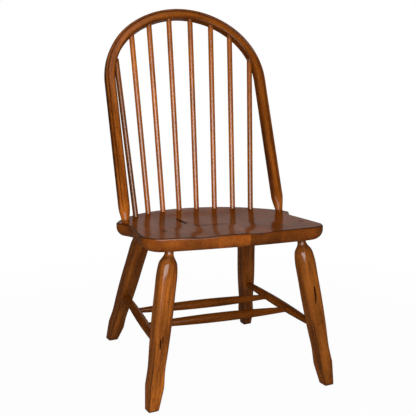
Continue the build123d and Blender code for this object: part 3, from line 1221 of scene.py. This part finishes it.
    def build(self, material: bpy.types.Material) -> None:
        """Sweep the section along the bow and place it.

        Args:
            material: The bow's finish.
        """
        section = self.section()
        section_glaze = self.section_glaze(section)
        reach = np.linalg.norm(section, axis=1)
        outside = section[:, 0] > self.width / 2 - self.outer_share * self.edge_radius
        points: list[np.ndarray] = []
        grain: list[np.ndarray] = []
        glaze: list[np.ndarray] = []
        tint: list[np.ndarray] = []
        _, up, front = self.axes()
        places = self.stations()
        whole_length = places[-1][3]
        for across, height, turn, run in places:
            shape, dark, fade = section, 0.0, 1.0
            if abs(turn) >= math.pi / 2:
                shape = section * np.minimum(1.0, self.foot_radius(height) / reach)[:, None]
                dark = self.foot_glaze * bell(height, self.foot_glaze_reach)
                fade = float(np.interp(height, self.glaze_and_shade_fade, (0.0, 1.0)))
            outward = math.sin(turn) * np.array([1.0, 0, 0]) + math.cos(turn) * up
            centre = self.to_world(across, height)
            points.append(centre + shape[:, :1] * outward + shape[:, 1:] * front)
            grain.append(np.column_stack([shape, np.full(len(shape), run)]) + np.array(self.grain_offset))
            # Painted shade on the outer side of the left post
            side = np.interp(run / whole_length, self.outer_places, self.outer_glaze) * outside
            glaze.append(np.maximum(np.maximum(section_glaze, side) * fade, dark))
            # Painted light that falls off from the left foot to the right
            tint.append(np.full(len(shape), np.interp(run / whole_length, self.shade_places, self.tones_and_shades)))
        faces = tube_faces(len(places), len(section))
        mesh = new_mesh("bow_mesh", np.vstack(points), faces)
        write_attributes(mesh, np.vstack(grain), np.concatenate(glaze), np.concatenate(tint))
        face_outwards(mesh)
        place_piece("bent_bow", mesh, material, "bow")


@dataclass
class Legs:
    """Four splayed square legs with turned necks."""

    front_foot: Pair = (0.264, -0.289)
    front_neck: Pair = (0.196, -0.240)
    rear_foot: Pair = (0.2455, 0.288)
    rear_neck: Pair = (0.171, 0.111)
    heights: tuple[float, ...] = (0.0, 0.030, 0.056, 0.066, 0.076, 0.108, 0.160, 0.214, 0.270, 0.320, 0.5)
    widths: tuple[float, ...] = (
        0.0306, 0.0356, 0.0398, 0.0412, 0.0407, 0.0386, 0.0418, 0.0462, 0.0497, 0.0513, 0.0513)
    edge_levels: tuple[float, ...] = (0.0, 0.06, 0.17, 0.22, 0.32)
    edge_radii: tuple[float, ...] = (0.0042, 0.0036, 0.0050, 0.0085, 0.0165)
    foot_chamfer: float = 0.0020
    chamfer_share: float = 0.6
    foot_cut_reach: float = 0.058
    turn: float = math.radians(7.5)
    neck_diameter: float = 0.0246
    neck_length: float = 0.007
    shoulder_drops: tuple[float, ...] = (0.0, 0.006, 0.012, 0.018, 0.025, 0.034, 0.044, 0.054, 0.062)
    shoulder_radii: tuple[float, ...] = (
        0.0123, 0.0139, 0.0172, 0.0212, 0.0255, 0.0287, 0.0313, 0.034, 0.037)
    shoulder_blend: float = 0.009
    tenon: float = 0.024
    # Darker lines along the arrises, by level up the leg, gone near the top
    arris_glaze: tuple[float, ...] = (1.0, 1.0, 0.95, 0.35, 0.0)
    arris_reach: float = 0.0028
    arris_peak: float = 1.3
    hollow_glaze: float = 0.45
    # Darker hollow under the neck
    hollow_drop: float = 0.010
    hollow_reach: float = 0.010
    # Painted shade along the bottom edge of each foot
    sole_shade_reach: float = 0.004
    joint_glaze: float = 0.7
    joint_reach: float = 0.003
    # Front left, front right, rear left, rear right: tone, with painted light on the front left leg and
    # painted shade on the others, for the lamp's fall-off and the seat's shadow
    tones_and_shades: tuple[float, ...] = (1.15, 0.82, 0.76, 0.88)
    grain_step: Point = (0.23, 0.11, 0.87)
    corner_steps: int = 6
    side_steps: int = 8
    foot_rings: tuple[float, ...] = (
        0.006, 0.012, 0.022, 0.034, 0.046, 0.054, 0.059, 0.063, 0.066, 0.069, 0.073, 0.079, 0.087, 0.096,
        0.108)
    calf_start: float = 0.122
    calf_points: int = 18
    shoulder_rings: tuple[float, ...] = (
        0.085, 0.074, 0.066, 0.060, 0.054, 0.049, 0.044, 0.039, 0.034, 0.0295, 0.025, 0.0215, 0.018, 0.015,
        0.012, 0.009, 0.006, 0.003, 0.0)
    seat: Seat = field(default_factory=Seat)

    def ends(self, side: Side, end: End) -> tuple[np.ndarray, np.ndarray]:
        """Both ends of a leg's axis.

        Args:
            side: Left or right.
            end: Front or rear.

        Returns:
            Foot centre on the floor and neck centre under the seat.
        """
        foot, neck = self.rear_foot, self.rear_neck
        if end is End.FRONT:
            foot, neck = self.front_foot, self.front_neck
        low = np.array([side.value * foot[0], foot[1] + MIDDLE_SHIFT, 0.0])
        return low, self.seat.under_point(side.value * neck[0], neck[1])

    def axis_at(self, side: Side, end: End, height: float) -> np.ndarray:
        """Point on a leg's axis at a height above the floor."""
        foot, neck = self.ends(side, end)
        return foot + (neck - foot) * (height / neck[2])

    def levels(self, length: float) -> np.ndarray:
        """Places of the rings along a leg.

        Args:
            length: Length of the leg from the floor to the seat.

        Returns:
            Distances from the floor along the leg, rising.
        """
        shoulder = length - self.neck_length - np.array(self.shoulder_rings)
        foot = [0.0, self.foot_chamfer, *self.foot_rings]
        calf = np.linspace(self.calf_start, shoulder[0], self.calf_points)[:-1]
        return np.concatenate([foot, calf, shoulder, [length, length + self.tenon]])

    def section(self, level: float, drop: float) -> np.ndarray:
        """Cross section of a leg.

        Args:
            level: Distance along the leg from the floor.
            drop: Distance along the leg down from the neck.

        Returns:
            Points across and deep.
        """
        inset = self.foot_chamfer if level == 0.0 else 0.0
        half = eased(self.heights, self.widths, level) / 2 - inset
        radius = float(np.interp(level, self.edge_levels, self.edge_radii)) - self.chamfer_share * inset
        shape = rounded_square(half, half, radius, self.corner_steps, self.side_steps)
        if drop >= self.shoulder_drops[-1]:
            return shape
        limit = self.neck_diameter / 2
        if drop > 0:
            limit = eased(self.shoulder_drops, self.shoulder_radii, drop)
        reach = np.linalg.norm(shape, axis=1)
        return shape * (blended(reach, limit, self.shoulder_blend) / reach)[:, None]

    def section_glaze(self, shape: np.ndarray, level: float, drop: float) -> np.ndarray:
        """Darker arrises and neck hollow, painted shade along the foot's bottom, glazing and shade at the
        seat joint.

        Args:
            shape: Points of the cross section.
            level: Distance along the leg from the floor.
            drop: Distance along the leg down from the neck.

        Returns:
            The amount at each point.
        """
        corner = np.abs(np.abs(shape[:, 0]) - np.abs(shape[:, 1]))
        amount = float(np.interp(level, self.edge_levels, self.arris_glaze))
        arris = np.clip(self.arris_peak - corner / self.arris_reach, 0, 1) * amount
        # Painted shade along the bottom edge of the foot
        sole = bell(level, self.sole_shade_reach)
        joint = self.joint_glaze * bell(drop + self.neck_length, self.joint_reach)
        hollow = self.hollow_glaze * bell(drop - self.hollow_drop, self.hollow_reach)
        return np.maximum(arris, max(sole, joint, hollow))

    def build_one(self, side: Side, end: End, number: int, material: bpy.types.Material) -> None:
        """Build and place one leg.

        Args:
            side: Left or right.
            end: Front or rear.
            number: Place in the list of tints.
            material: The legs' finish.
        """
        foot, neck = self.ends(side, end)
        length = float(np.linalg.norm(neck - foot))
        along = (neck - foot) / length
        across = np.array([1.0, 0, 0]) - along * along[0]
        across /= np.linalg.norm(across)
        deep = np.cross(along, across)
        c, s = math.cos(self.turn), math.sin(self.turn)
        across, deep = c * across + s * deep, c * deep - s * across
        offset = np.array(self.grain_step) * (number + 1)
        points: list[np.ndarray] = []
        grain: list[np.ndarray] = []
        glaze: list[np.ndarray] = []
        levels = self.levels(length)
        for level in levels:
            drop = length - self.neck_length - level
            shape = self.section(level, drop)
            plain = foot + shape[:, :1] * across + shape[:, 1:] * deep + level * along
            # The foot is cut level with the floor, and the cut fades out along the leg
            fade = np.clip(1 - level / self.foot_cut_reach, 0, 1)
            sink = fade * (plain[:, 2] - level * along[2]) / along[2]
            points.append(plain - sink[:, None] * along)
            grain.append(np.column_stack([shape, np.full(len(shape), level)]) + offset)
            glaze.append(self.section_glaze(shape, level, drop))
        label = f"{end.value}_{side.name.lower()}"
        mesh = new_mesh(f"leg_{label}_mesh", np.vstack(points), tube_faces(len(levels), len(points[0])))
        write_attributes(mesh, np.vstack(grain), np.concatenate(glaze), self.tones_and_shades[number])
        face_outwards(mesh)
        place_piece(f"square_leg_{label}", mesh, material, f"leg_{label}")

    def build(self, material: bpy.types.Material) -> None:
        """Build and place all four legs.

        Args:
            material: The legs' finish.
        """
        pairs = [(side, end) for end in End for side in Side]
        for number, (side, end) in enumerate(pairs):
            self.build_one(side, end, number, material)


class TurnedRods:
    """Round rods made by one geometry node tree, plain or swelled in the middle."""

    # Dark glazing with painted contact shade where a rod goes into its joint
    JOINT_GLAZE_AND_SHADE = 0.8
    SOCKETS = {
        "Origin": Socket.VECTOR,
        "Direction": Socket.VECTOR,
        "Length": Socket.NUMBER,
        "Extra Start": Socket.NUMBER,
        "Extra End": Socket.NUMBER,
        "Lead": Socket.NUMBER,
        "End Radius": Socket.NUMBER,
        "Middle Radius": Socket.NUMBER,
        "Joint Glaze": Socket.NUMBER,
        "Tint": Socket.NUMBER,
        "Grain Offset": Socket.VECTOR,
        "Stations": Socket.COUNT,
        "Sides": Socket.COUNT,
        "Material": Socket.MATERIAL,
    }

    def __init__(self) -> None:
        """Build the tree."""
        outputs = {"Geometry": Socket.GEOMETRY}
        self.nodes, start, end = new_group("turned_rod", "GeometryNodeTree", self.SOCKETS, outputs)
        nodes, given = self.nodes, start.outputs
        low = nodes.maths("MULTIPLY", given["Extra Start"], -1.0)
        high = nodes.maths("ADD", given["Length"], given["Extra End"])
        line = nodes.add("GeometryNodeCurvePrimitiveLine", {
            "Start": nodes.add("ShaderNodeCombineXYZ", {"Z": low}).outputs[0],
            "End": nodes.add("ShaderNodeCombineXYZ", {"Z": high}).outputs[0],
        })
        line = nodes.add("GeometryNodeResampleCurve", {
            "Curve": line.outputs[0], "Count": given["Stations"],
        })
        place = nodes.add("GeometryNodeInputPosition").outputs[0]
        height = nodes.add("ShaderNodeSeparateXYZ", {0: place}).outputs["Z"]
        far_lead = nodes.maths("SUBTRACT", given["Length"], given["Lead"])
        share = nodes.spread(height, (given["Lead"], far_lead))
        offset = nodes.maths("MULTIPLY_ADD", share, 2.0, -1.0)
        swell = nodes.maths("SUBTRACT", 1.0, nodes.maths("MULTIPLY", offset, offset))
        growth = nodes.maths("SUBTRACT", given["Middle Radius"], given["End Radius"])
        radius = nodes.maths("MULTIPLY_ADD", growth, swell, given["End Radius"])
        ring = nodes.add("GeometryNodeCurvePrimitiveCircle", {"Resolution": given["Sides"], "Radius": 1.0})
        shape = nodes.add("GeometryNodeCurveToMesh", {
            "Curve": line.outputs[0], "Profile Curve": ring.outputs[0], "Scale": radius, "Fill Caps": True,
        }).outputs[0]
        near_start = nodes.maths("ABSOLUTE", height)
        near_end = nodes.maths("ABSOLUTE", nodes.maths("SUBTRACT", height, given["Length"]))
        near = nodes.maths("MINIMUM", near_start, near_end)
        glaze = nodes.spread(near, (0.0, given["Joint Glaze"]), (self.JOINT_GLAZE_AND_SHADE, 0.0), smooth=True)
        grain = nodes.vector("ADD", place, given["Grain Offset"])
        for name, kind, value in (("grain", "FLOAT_VECTOR", grain), ("glaze", "FLOAT", glaze),
                                  ("tint", "FLOAT", given["Tint"])):
            values = {"Geometry": shape, "Name": name, "Value": value}
            store = nodes.add("GeometryNodeStoreNamedAttribute", values, data_type=kind, domain="POINT")
            shape = store.outputs[0]
        turn = nodes.add("FunctionNodeAlignRotationToVector", {"Vector": given["Direction"]}, axis="Z")
        shape = nodes.add("GeometryNodeTransform", {
            "Geometry": shape, "Translation": given["Origin"], "Rotation": turn.outputs[0],
        }).outputs[0]
        shape = nodes.add("GeometryNodeSetShadeSmooth", {"Geometry": shape}).outputs[0]
        shape = nodes.add("GeometryNodeRealizeInstances", {"Geometry": shape}).outputs[0]
        shape = nodes.add("GeometryNodeSetMaterial", {
            "Geometry": shape, "Material": given["Material"],
        }).outputs[0]
        nodes.feed(end.inputs["Geometry"], shape)
        items = nodes.tree.interface.items_tree
        self.keys = {item.name: item.identifier for item in items if item.in_out == "INPUT"}

    def mesh(self, name: str, start: np.ndarray, stop: np.ndarray,
             values: dict[str, object]) -> bpy.types.Mesh:
        """Make one rod between two joints.

        Args:
            name: Name of the mesh.
            start: Place of the first joint.
            stop: Place of the second joint.
            values: The tree's other inputs by name.

        Returns:
            A plain mesh with its finish set.
        """
        run = stop - start
        ends = {"Origin": tuple(start), "Direction": tuple(run), "Length": float(np.linalg.norm(run))}
        holder = bpy.data.objects.new(name, bpy.data.meshes.new(name + "_empty"))
        bpy.context.scene.collection.objects.link(holder)
        modifier = holder.modifiers.new("turned_rod", "NODES")
        modifier.node_group = self.nodes.tree
        for label, value in {**ends, **values}.items():
            modifier[self.keys[label]] = value
        depsgraph = bpy.context.evaluated_depsgraph_get()
        mesh = bpy.data.meshes.new_from_object(holder.evaluated_get(depsgraph))
        mesh.name = name
        holder.modifiers.remove(modifier)
        empty = holder.data
        bpy.data.objects.remove(holder)
        bpy.data.meshes.remove(empty)
        return mesh


@dataclass
class Spindles:
    """Plain round spindles between the seat and the bow."""

    diameter: float = 0.017
    arc_centre_y: float = -0.100
    arc_radius: float = 0.302
    pitch: float = math.radians(11.4)
    top_distances: tuple[float, ...] = (0.036, 0.1075, 0.180, 0.2845)
    seat_depth: float = 0.024
    bow_depth: float = 0.008
    joint_glaze: float = 0.004
    # From the left: the first spindle is darkened as a painted shadow of the bow's left post; the others
    # differ in their own tone
    tones_and_shades: tuple[float, ...] = (0.60, 1.0, 1.12, 1.06, 1.0, 1.06, 0.94, 0.74)
    grain_step: Point = (0.37, 0.11, 0.23)
    stations: int = 72
    sides: int = 32
    seat: Seat = field(default_factory=Seat)
    bow: Bow = field(default_factory=Bow)

    def ends(self, number: int) -> tuple[np.ndarray, np.ndarray]:
        """Both ends of a spindle.

        Args:
            number: Number of the spindle, from 1 on the left.

        Returns:
            Foot on the seat and top on the bow's inner edge.
        """
        step = number - len(self.top_distances) - 0.5
        angle = step * self.pitch
        foot = self.seat.top_point(self.arc_radius * math.sin(angle),
                                   self.arc_centre_y + self.arc_radius * math.cos(angle))
        across, height = self.bow.inner_point(self.top_distances[int(abs(step))])
        return foot, self.bow.to_world(math.copysign(across, step), height)

    def build(self, rods: TurnedRods, material: bpy.types.Material) -> None:
        """Build and place all spindles.

        Args:
            rods: Maker of round rods.
            material: The spindles' finish.
        """
        for number, tint in enumerate(self.tones_and_shades, 1):
            mesh = rods.mesh(f"spindle_{number}_mesh", *self.ends(number), {
                "Extra Start": self.seat_depth, "Extra End": self.bow_depth,
                "End Radius": self.diameter / 2, "Middle Radius": self.diameter / 2,
                "Joint Glaze": self.joint_glaze, "Tint": tint,
                "Grain Offset": tuple(step * number for step in self.grain_step),
                "Stations": self.stations, "Sides": self.sides, "Material": material,
            })
            place_piece(f"round_spindle_{number}", mesh, material, f"spindle_{number}")


@dataclass
class Stretchers:
    """Swelled side stretchers between the legs, tied by two cross stretchers."""

    front_height: float = 0.171
    rear_height: float = 0.174
    side_diameter: float = 0.0275
    side_end_diameter: float = 0.0175
    side_past_axis: float = 0.006
    cross_places: tuple[tuple[str, float], ...] = (("front", -0.098), ("rear", 0.0405))
    cross_diameter: float = 0.0285
    cross_end_diameter: float = 0.016
    cross_past_axis: float = 0.003
    lead: float = 0.006
    # Reach of the dark glazing and painted contact shade at each end
    joint_glaze: float = 0.03
    tones_and_shades: tuple[float, ...] = (1.25, 1.15, 1.0, 1.0)
    grain_step: Point = (0.19, 0.41, 0.07)
    stations: int = 64
    sides: int = 36
    legs: Legs = field(default_factory=Legs)

    def side_ends(self, side: Side) -> tuple[np.ndarray, np.ndarray]:
        """Crossing points of a side stretcher with its two legs."""
        return (self.legs.axis_at(side, End.FRONT, self.front_height),
                self.legs.axis_at(side, End.REAR, self.rear_height))

    def cross_end(self, side: Side, place_y: float) -> np.ndarray:
        """Point on a side stretcher's axis where a cross stretcher meets it."""
        front, rear = self.side_ends(side)
        return front + (rear - front) * ((place_y + MIDDLE_SHIFT - front[1]) / (rear[1] - front[1]))

    def build(self, rods: TurnedRods, material: bpy.types.Material) -> None:
        """Build and place all stretchers.

        Args:
            rods: Maker of round rods.
            material: The stretchers' finish.
        """
        leg_width = self.legs.widths[-1]
        side_sizes = (self.side_diameter, self.side_end_diameter, self.side_past_axis, leg_width)
        cross_sizes = (self.cross_diameter, self.cross_end_diameter, self.cross_past_axis,
                       self.side_diameter)
        bars = [(side.name.lower(), *self.side_ends(side), *side_sizes) for side in Side]
        for name, place_y in self.cross_places:
            ends = [self.cross_end(side, place_y) for side in Side]
            bars.append((f"{name}_cross", *ends, *cross_sizes))
        for number, (name, start, stop, middle, end, past, host) in enumerate(bars, 1):
            mesh = rods.mesh(f"stretcher_{name}_mesh", start, stop, {
                "Extra Start": past, "Extra End": past, "Lead": host / 2 + self.lead,
                "End Radius": end / 2, "Middle Radius": middle / 2,
                "Joint Glaze": self.joint_glaze, "Tint": self.tones_and_shades[number - 1],
                "Grain Offset": tuple(step * number for step in self.grain_step),
                "Stations": self.stations, "Sides": self.sides, "Material": material,
            })
            place_piece(f"swelled_stretcher_{name}", mesh, material, f"stretcher_{name}")


# Studio


@dataclass(frozen=True)
class SoftBox:
    """One soft studio lamp."""

    name: str
    place: Point
    target: Point
    width: float
    height: float
    power: float
    mirrored: bool = True

    def build(self) -> None:
        """Put the lamp in the scene."""
        data = bpy.data.lights.new(self.name, "AREA")
        data.shape = "RECTANGLE"
        data.size, data.size_y = self.width, self.height
        data.energy = self.power
        lamp = bpy.data.objects.new(self.name, data)
        lamp.location = self.place
        aim = Vector(self.target) - Vector(self.place)
        lamp.rotation_euler = aim.to_track_quat("-Z", "Y").to_euler()
        lamp.visible_camera = False
        lamp.visible_glossy = self.mirrored
        bpy.context.scene.collection.objects.link(lamp)


@dataclass(frozen=True)
class Studio:
    """Camera, lamps, white surround and pale floor."""

    camera_place: Point = (-0.76877, -2.16121, 0.91339)
    camera_azimuth: float = math.radians(-19.559)
    camera_down: float = math.radians(10.523)
    focal_pixels: float = 767.34
    frame_pixels: float = 416.0
    sensor: float = 36.0
    ambient: float = 0.045
    room: float = 0.06
    backdrop_edges: Pair = (0.86, 0.97)
    floor_size: float = 30.0
    floor_colour: Colour = (0.60, 0.60, 0.60)
    floor_glow: float = 0.975
    floor_fade: Pair = (0.6, 1.8)
    floor_sweep: float = 1.1
    white: Colour = (1.0, 1.0, 1.0)
    lamps: tuple[SoftBox, ...] = (
        SoftBox("front_soft_box", (-0.78, -2.26, 1.05), (0.0, 0.0, 0.62), 2.6, 1.1, 57.0),
        SoftBox("top_soft_box", (-0.2, -0.6, 2.5), (0.0, 0.0, 0.4), 1.4, 1.4, 8.5),
        SoftBox("rear_soft_box", (1.25, 2.17, 0.8), (0.0, 0.0, 0.55), 1.6, 1.2, 30.0, mirrored=False),
    )

    @property
    def behind(self) -> Point:
        """Level direction from the camera to what stands behind the chair."""
        return -math.sin(self.camera_azimuth), math.cos(self.camera_azimuth), 0.0

    def surround(self, nodes: Nodes, where: bpy.types.NodeSocket) -> tuple[object, object]:
        """Tell which rays see the plain surround, and how bright it is to them.

        Args:
            nodes: Nodes of the world or of the floor.
            where: Direction or place, seen from the chair, in which the ray ends.

        Returns:
            Mask of the rays that see it, and its level: 1 is the white that the camera sees,
            which reflections show where the backdrop stands behind the chair.
        """
        path = nodes.add("ShaderNodeLightPath").outputs
        shiny = nodes.maths("MAXIMUM", path["Is Glossy Ray"], path["Is Transmission Ray"])
        seen = nodes.maths("MAXIMUM", path["Is Camera Ray"], shiny)
        facing = nodes.measure("DOT_PRODUCT", nodes.vector("NORMALIZE", where), self.behind)
        backdrop = nodes.spread(facing, self.backdrop_edges, (self.room, 1.0), smooth=True)
        return seen, nodes.maths("MAXIMUM", path["Is Camera Ray"], backdrop)

    def build_surround(self) -> None:
        """White for the camera and for reflections, a soft grey light for the rest."""
        world = bpy.data.worlds.new("surround")
        world.use_nodes = True
        bpy.context.scene.world = world
        nodes = Nodes(world.node_tree)
        shader = world.node_tree.nodes["Background"]
        seen, level = self.surround(nodes, nodes.add("ShaderNodeTexCoord").outputs["Generated"])
        nodes.feed(shader.inputs["Color"], (*self.white, 1.0))
        nodes.feed(shader.inputs["Strength"], nodes.spread(seen, (0.0, 1.0), (self.ambient, level)))

    def floor_material(self) -> bpy.types.Material:
        """Pale floor that keeps the chair's shadow.

        Returns:
            The floor's material.
        """
        material = bpy.data.materials.new("pale_floor")
        material.use_nodes = True
        tree = material.node_tree
        tree.nodes.remove(tree.nodes["Principled BSDF"])
        nodes = Nodes(tree)
        place = nodes.add("ShaderNodeTexCoord").outputs["Object"]
        away = nodes.measure("LENGTH", place)
        near = nodes.spread(away, self.floor_fade, (self.floor_glow, 1.0), smooth=True)
        edge = tuple(self.floor_sweep * value for value in self.behind)
        seen, level = self.surround(nodes, nodes.vector("SUBTRACT", place, edge))
        plain = nodes.add("ShaderNodeBsdfDiffuse", {"Color": (*self.floor_colour, 1.0)})
        glow = nodes.add("ShaderNodeEmission", {"Color": (*self.white, 1.0), "Strength": level})
        share = nodes.maths("MULTIPLY", seen, near)
        mixed = nodes.add("ShaderNodeMixShader", {0: share, 1: plain.outputs[0], 2: glow.outputs[0]})
        nodes.feed(tree.nodes["Material Output"].inputs["Surface"], mixed.outputs[0])
        return material

    def build_floor(self) -> None:
        """Put the floor in the scene."""
        half = self.floor_size / 2
        corners = np.array([(-half, -half, 0), (half, -half, 0), (half, half, 0), (-half, half, 0)])
        mesh = new_mesh("floor_mesh", corners, [(0, 1, 2, 3)])
        mesh.materials.append(self.floor_material())
        floor = bpy.data.objects.new("floor", mesh)
        bpy.context.scene.collection.objects.link(floor)

    def build_camera(self) -> None:
        """Camera at the photograph's viewing angle."""
        data = bpy.data.cameras.new("camera")
        data.sensor_width = self.sensor
        data.lens = self.focal_pixels / self.frame_pixels * self.sensor
        camera = bpy.data.objects.new("camera", data)
        camera.location = self.camera_place
        camera.rotation_euler = (math.pi / 2 - self.camera_down, 0.0, self.camera_azimuth)
        bpy.context.scene.collection.objects.link(camera)
        bpy.context.scene.camera = camera

    def build(self) -> None:
        """Put the whole studio in the scene."""
        bpy.context.scene.view_settings.view_transform = "Standard"
        self.build_surround()
        self.build_floor()
        self.build_camera()
        for lamp in self.lamps:
            lamp.build()


SEAT_MARKS = (
    Stroke((-0.0803, 0.068, 0.4457), (-0.0774, -0.0282, 0.4497), 0.0088),
    Stroke((-0.1909, -0.1525, 0.462), (-0.1829, -0.1743, 0.4624), 0.0066),
    Stroke((0.2279, -0.1552, 0.4624), (0.2348, -0.1742, 0.4632), 0.0060),
)
LEG_MARKS = (
    Stroke((-0.2373, -0.2887, 0.1992), (-0.2393, -0.2906, 0.1684), 0.0034),
    Stroke((-0.2299, -0.2875, 0.2054), (-0.2328, -0.2889, 0.1852), 0.0024),
    Stroke((0.2209, -0.2786, 0.2985), (0.2247, -0.2847, 0.2448), 0.0046),
    Stroke((0.2179, -0.2834, 0.1675), (0.2212, -0.2818, 0.1485), 0.0028),
)
FINISHES = (
    WoodFinish(Slot.SEAT, light=(0.345, 0.091, 0.010), dark=(0.185, 0.041, 0.004), contrast=3.6,
               coat=0.52, coat_roughness=0.18, relief=0.10, strokes=SEAT_MARKS, top_coat=0.18),
    WoodFinish(Slot.BOW, light=(0.430, 0.114, 0.011), dark=(0.200, 0.047, 0.004), contrast=5.5,
               coat=0.11, coat_roughness=0.16, coat_ior=2.3, relief=0.12),
    WoodFinish(Slot.SPINDLE, light=(0.520, 0.142, 0.010), dark=(0.312, 0.073, 0.004), contrast=4.0,
               coat=0.38, coat_roughness=0.24, coat_ior=2.4, relief=0.03, glaze_and_shade_strength=0.8),
    WoodFinish(Slot.LEG, light=(0.390, 0.111, 0.013), dark=(0.165, 0.043, 0.005), contrast=6.0,
               coat=0.55, coat_roughness=0.18, relief=0.15, glaze_and_shade_strength=0.9, strokes=LEG_MARKS),
    # The stretchers' stock is darker than the legs' as painted shade, for their place under the seat
    WoodFinish(Slot.STRETCHER, light=(0.235, 0.062, 0.006), dark=(0.100, 0.024, 0.002), contrast=5.0,
               coat=0.13, coat_roughness=0.20, coat_ior=2.3, relief=0.12, glaze_and_shade_strength=0.8),
)


def main() -> None:
    """Build the chair and its studio in order."""
    logging.basicConfig(level=logging.INFO, format="%(name)s: %(message)s")
    effects = {"grain": Grain().build(), "glaze": GlazeAndShadeLayer().build(), "stroke": DistressStroke().build()}
    finishes = {finish.slot: finish.build(effects) for finish in FINISHES}
    seat = Seat()
    bow = Bow(seat=seat)
    legs = Legs(seat=seat)
    rods = TurnedRods()
    seat.build(finishes[Slot.SEAT])
    bow.build(finishes[Slot.BOW])
    Spindles(seat=seat, bow=bow).build(rods, finishes[Slot.SPINDLE])
    legs.build(finishes[Slot.LEG])
    Stretchers(legs=legs).build(rods, finishes[Slot.STRETCHER])
    Studio().build()


if __name__ == "__main__":
    main()
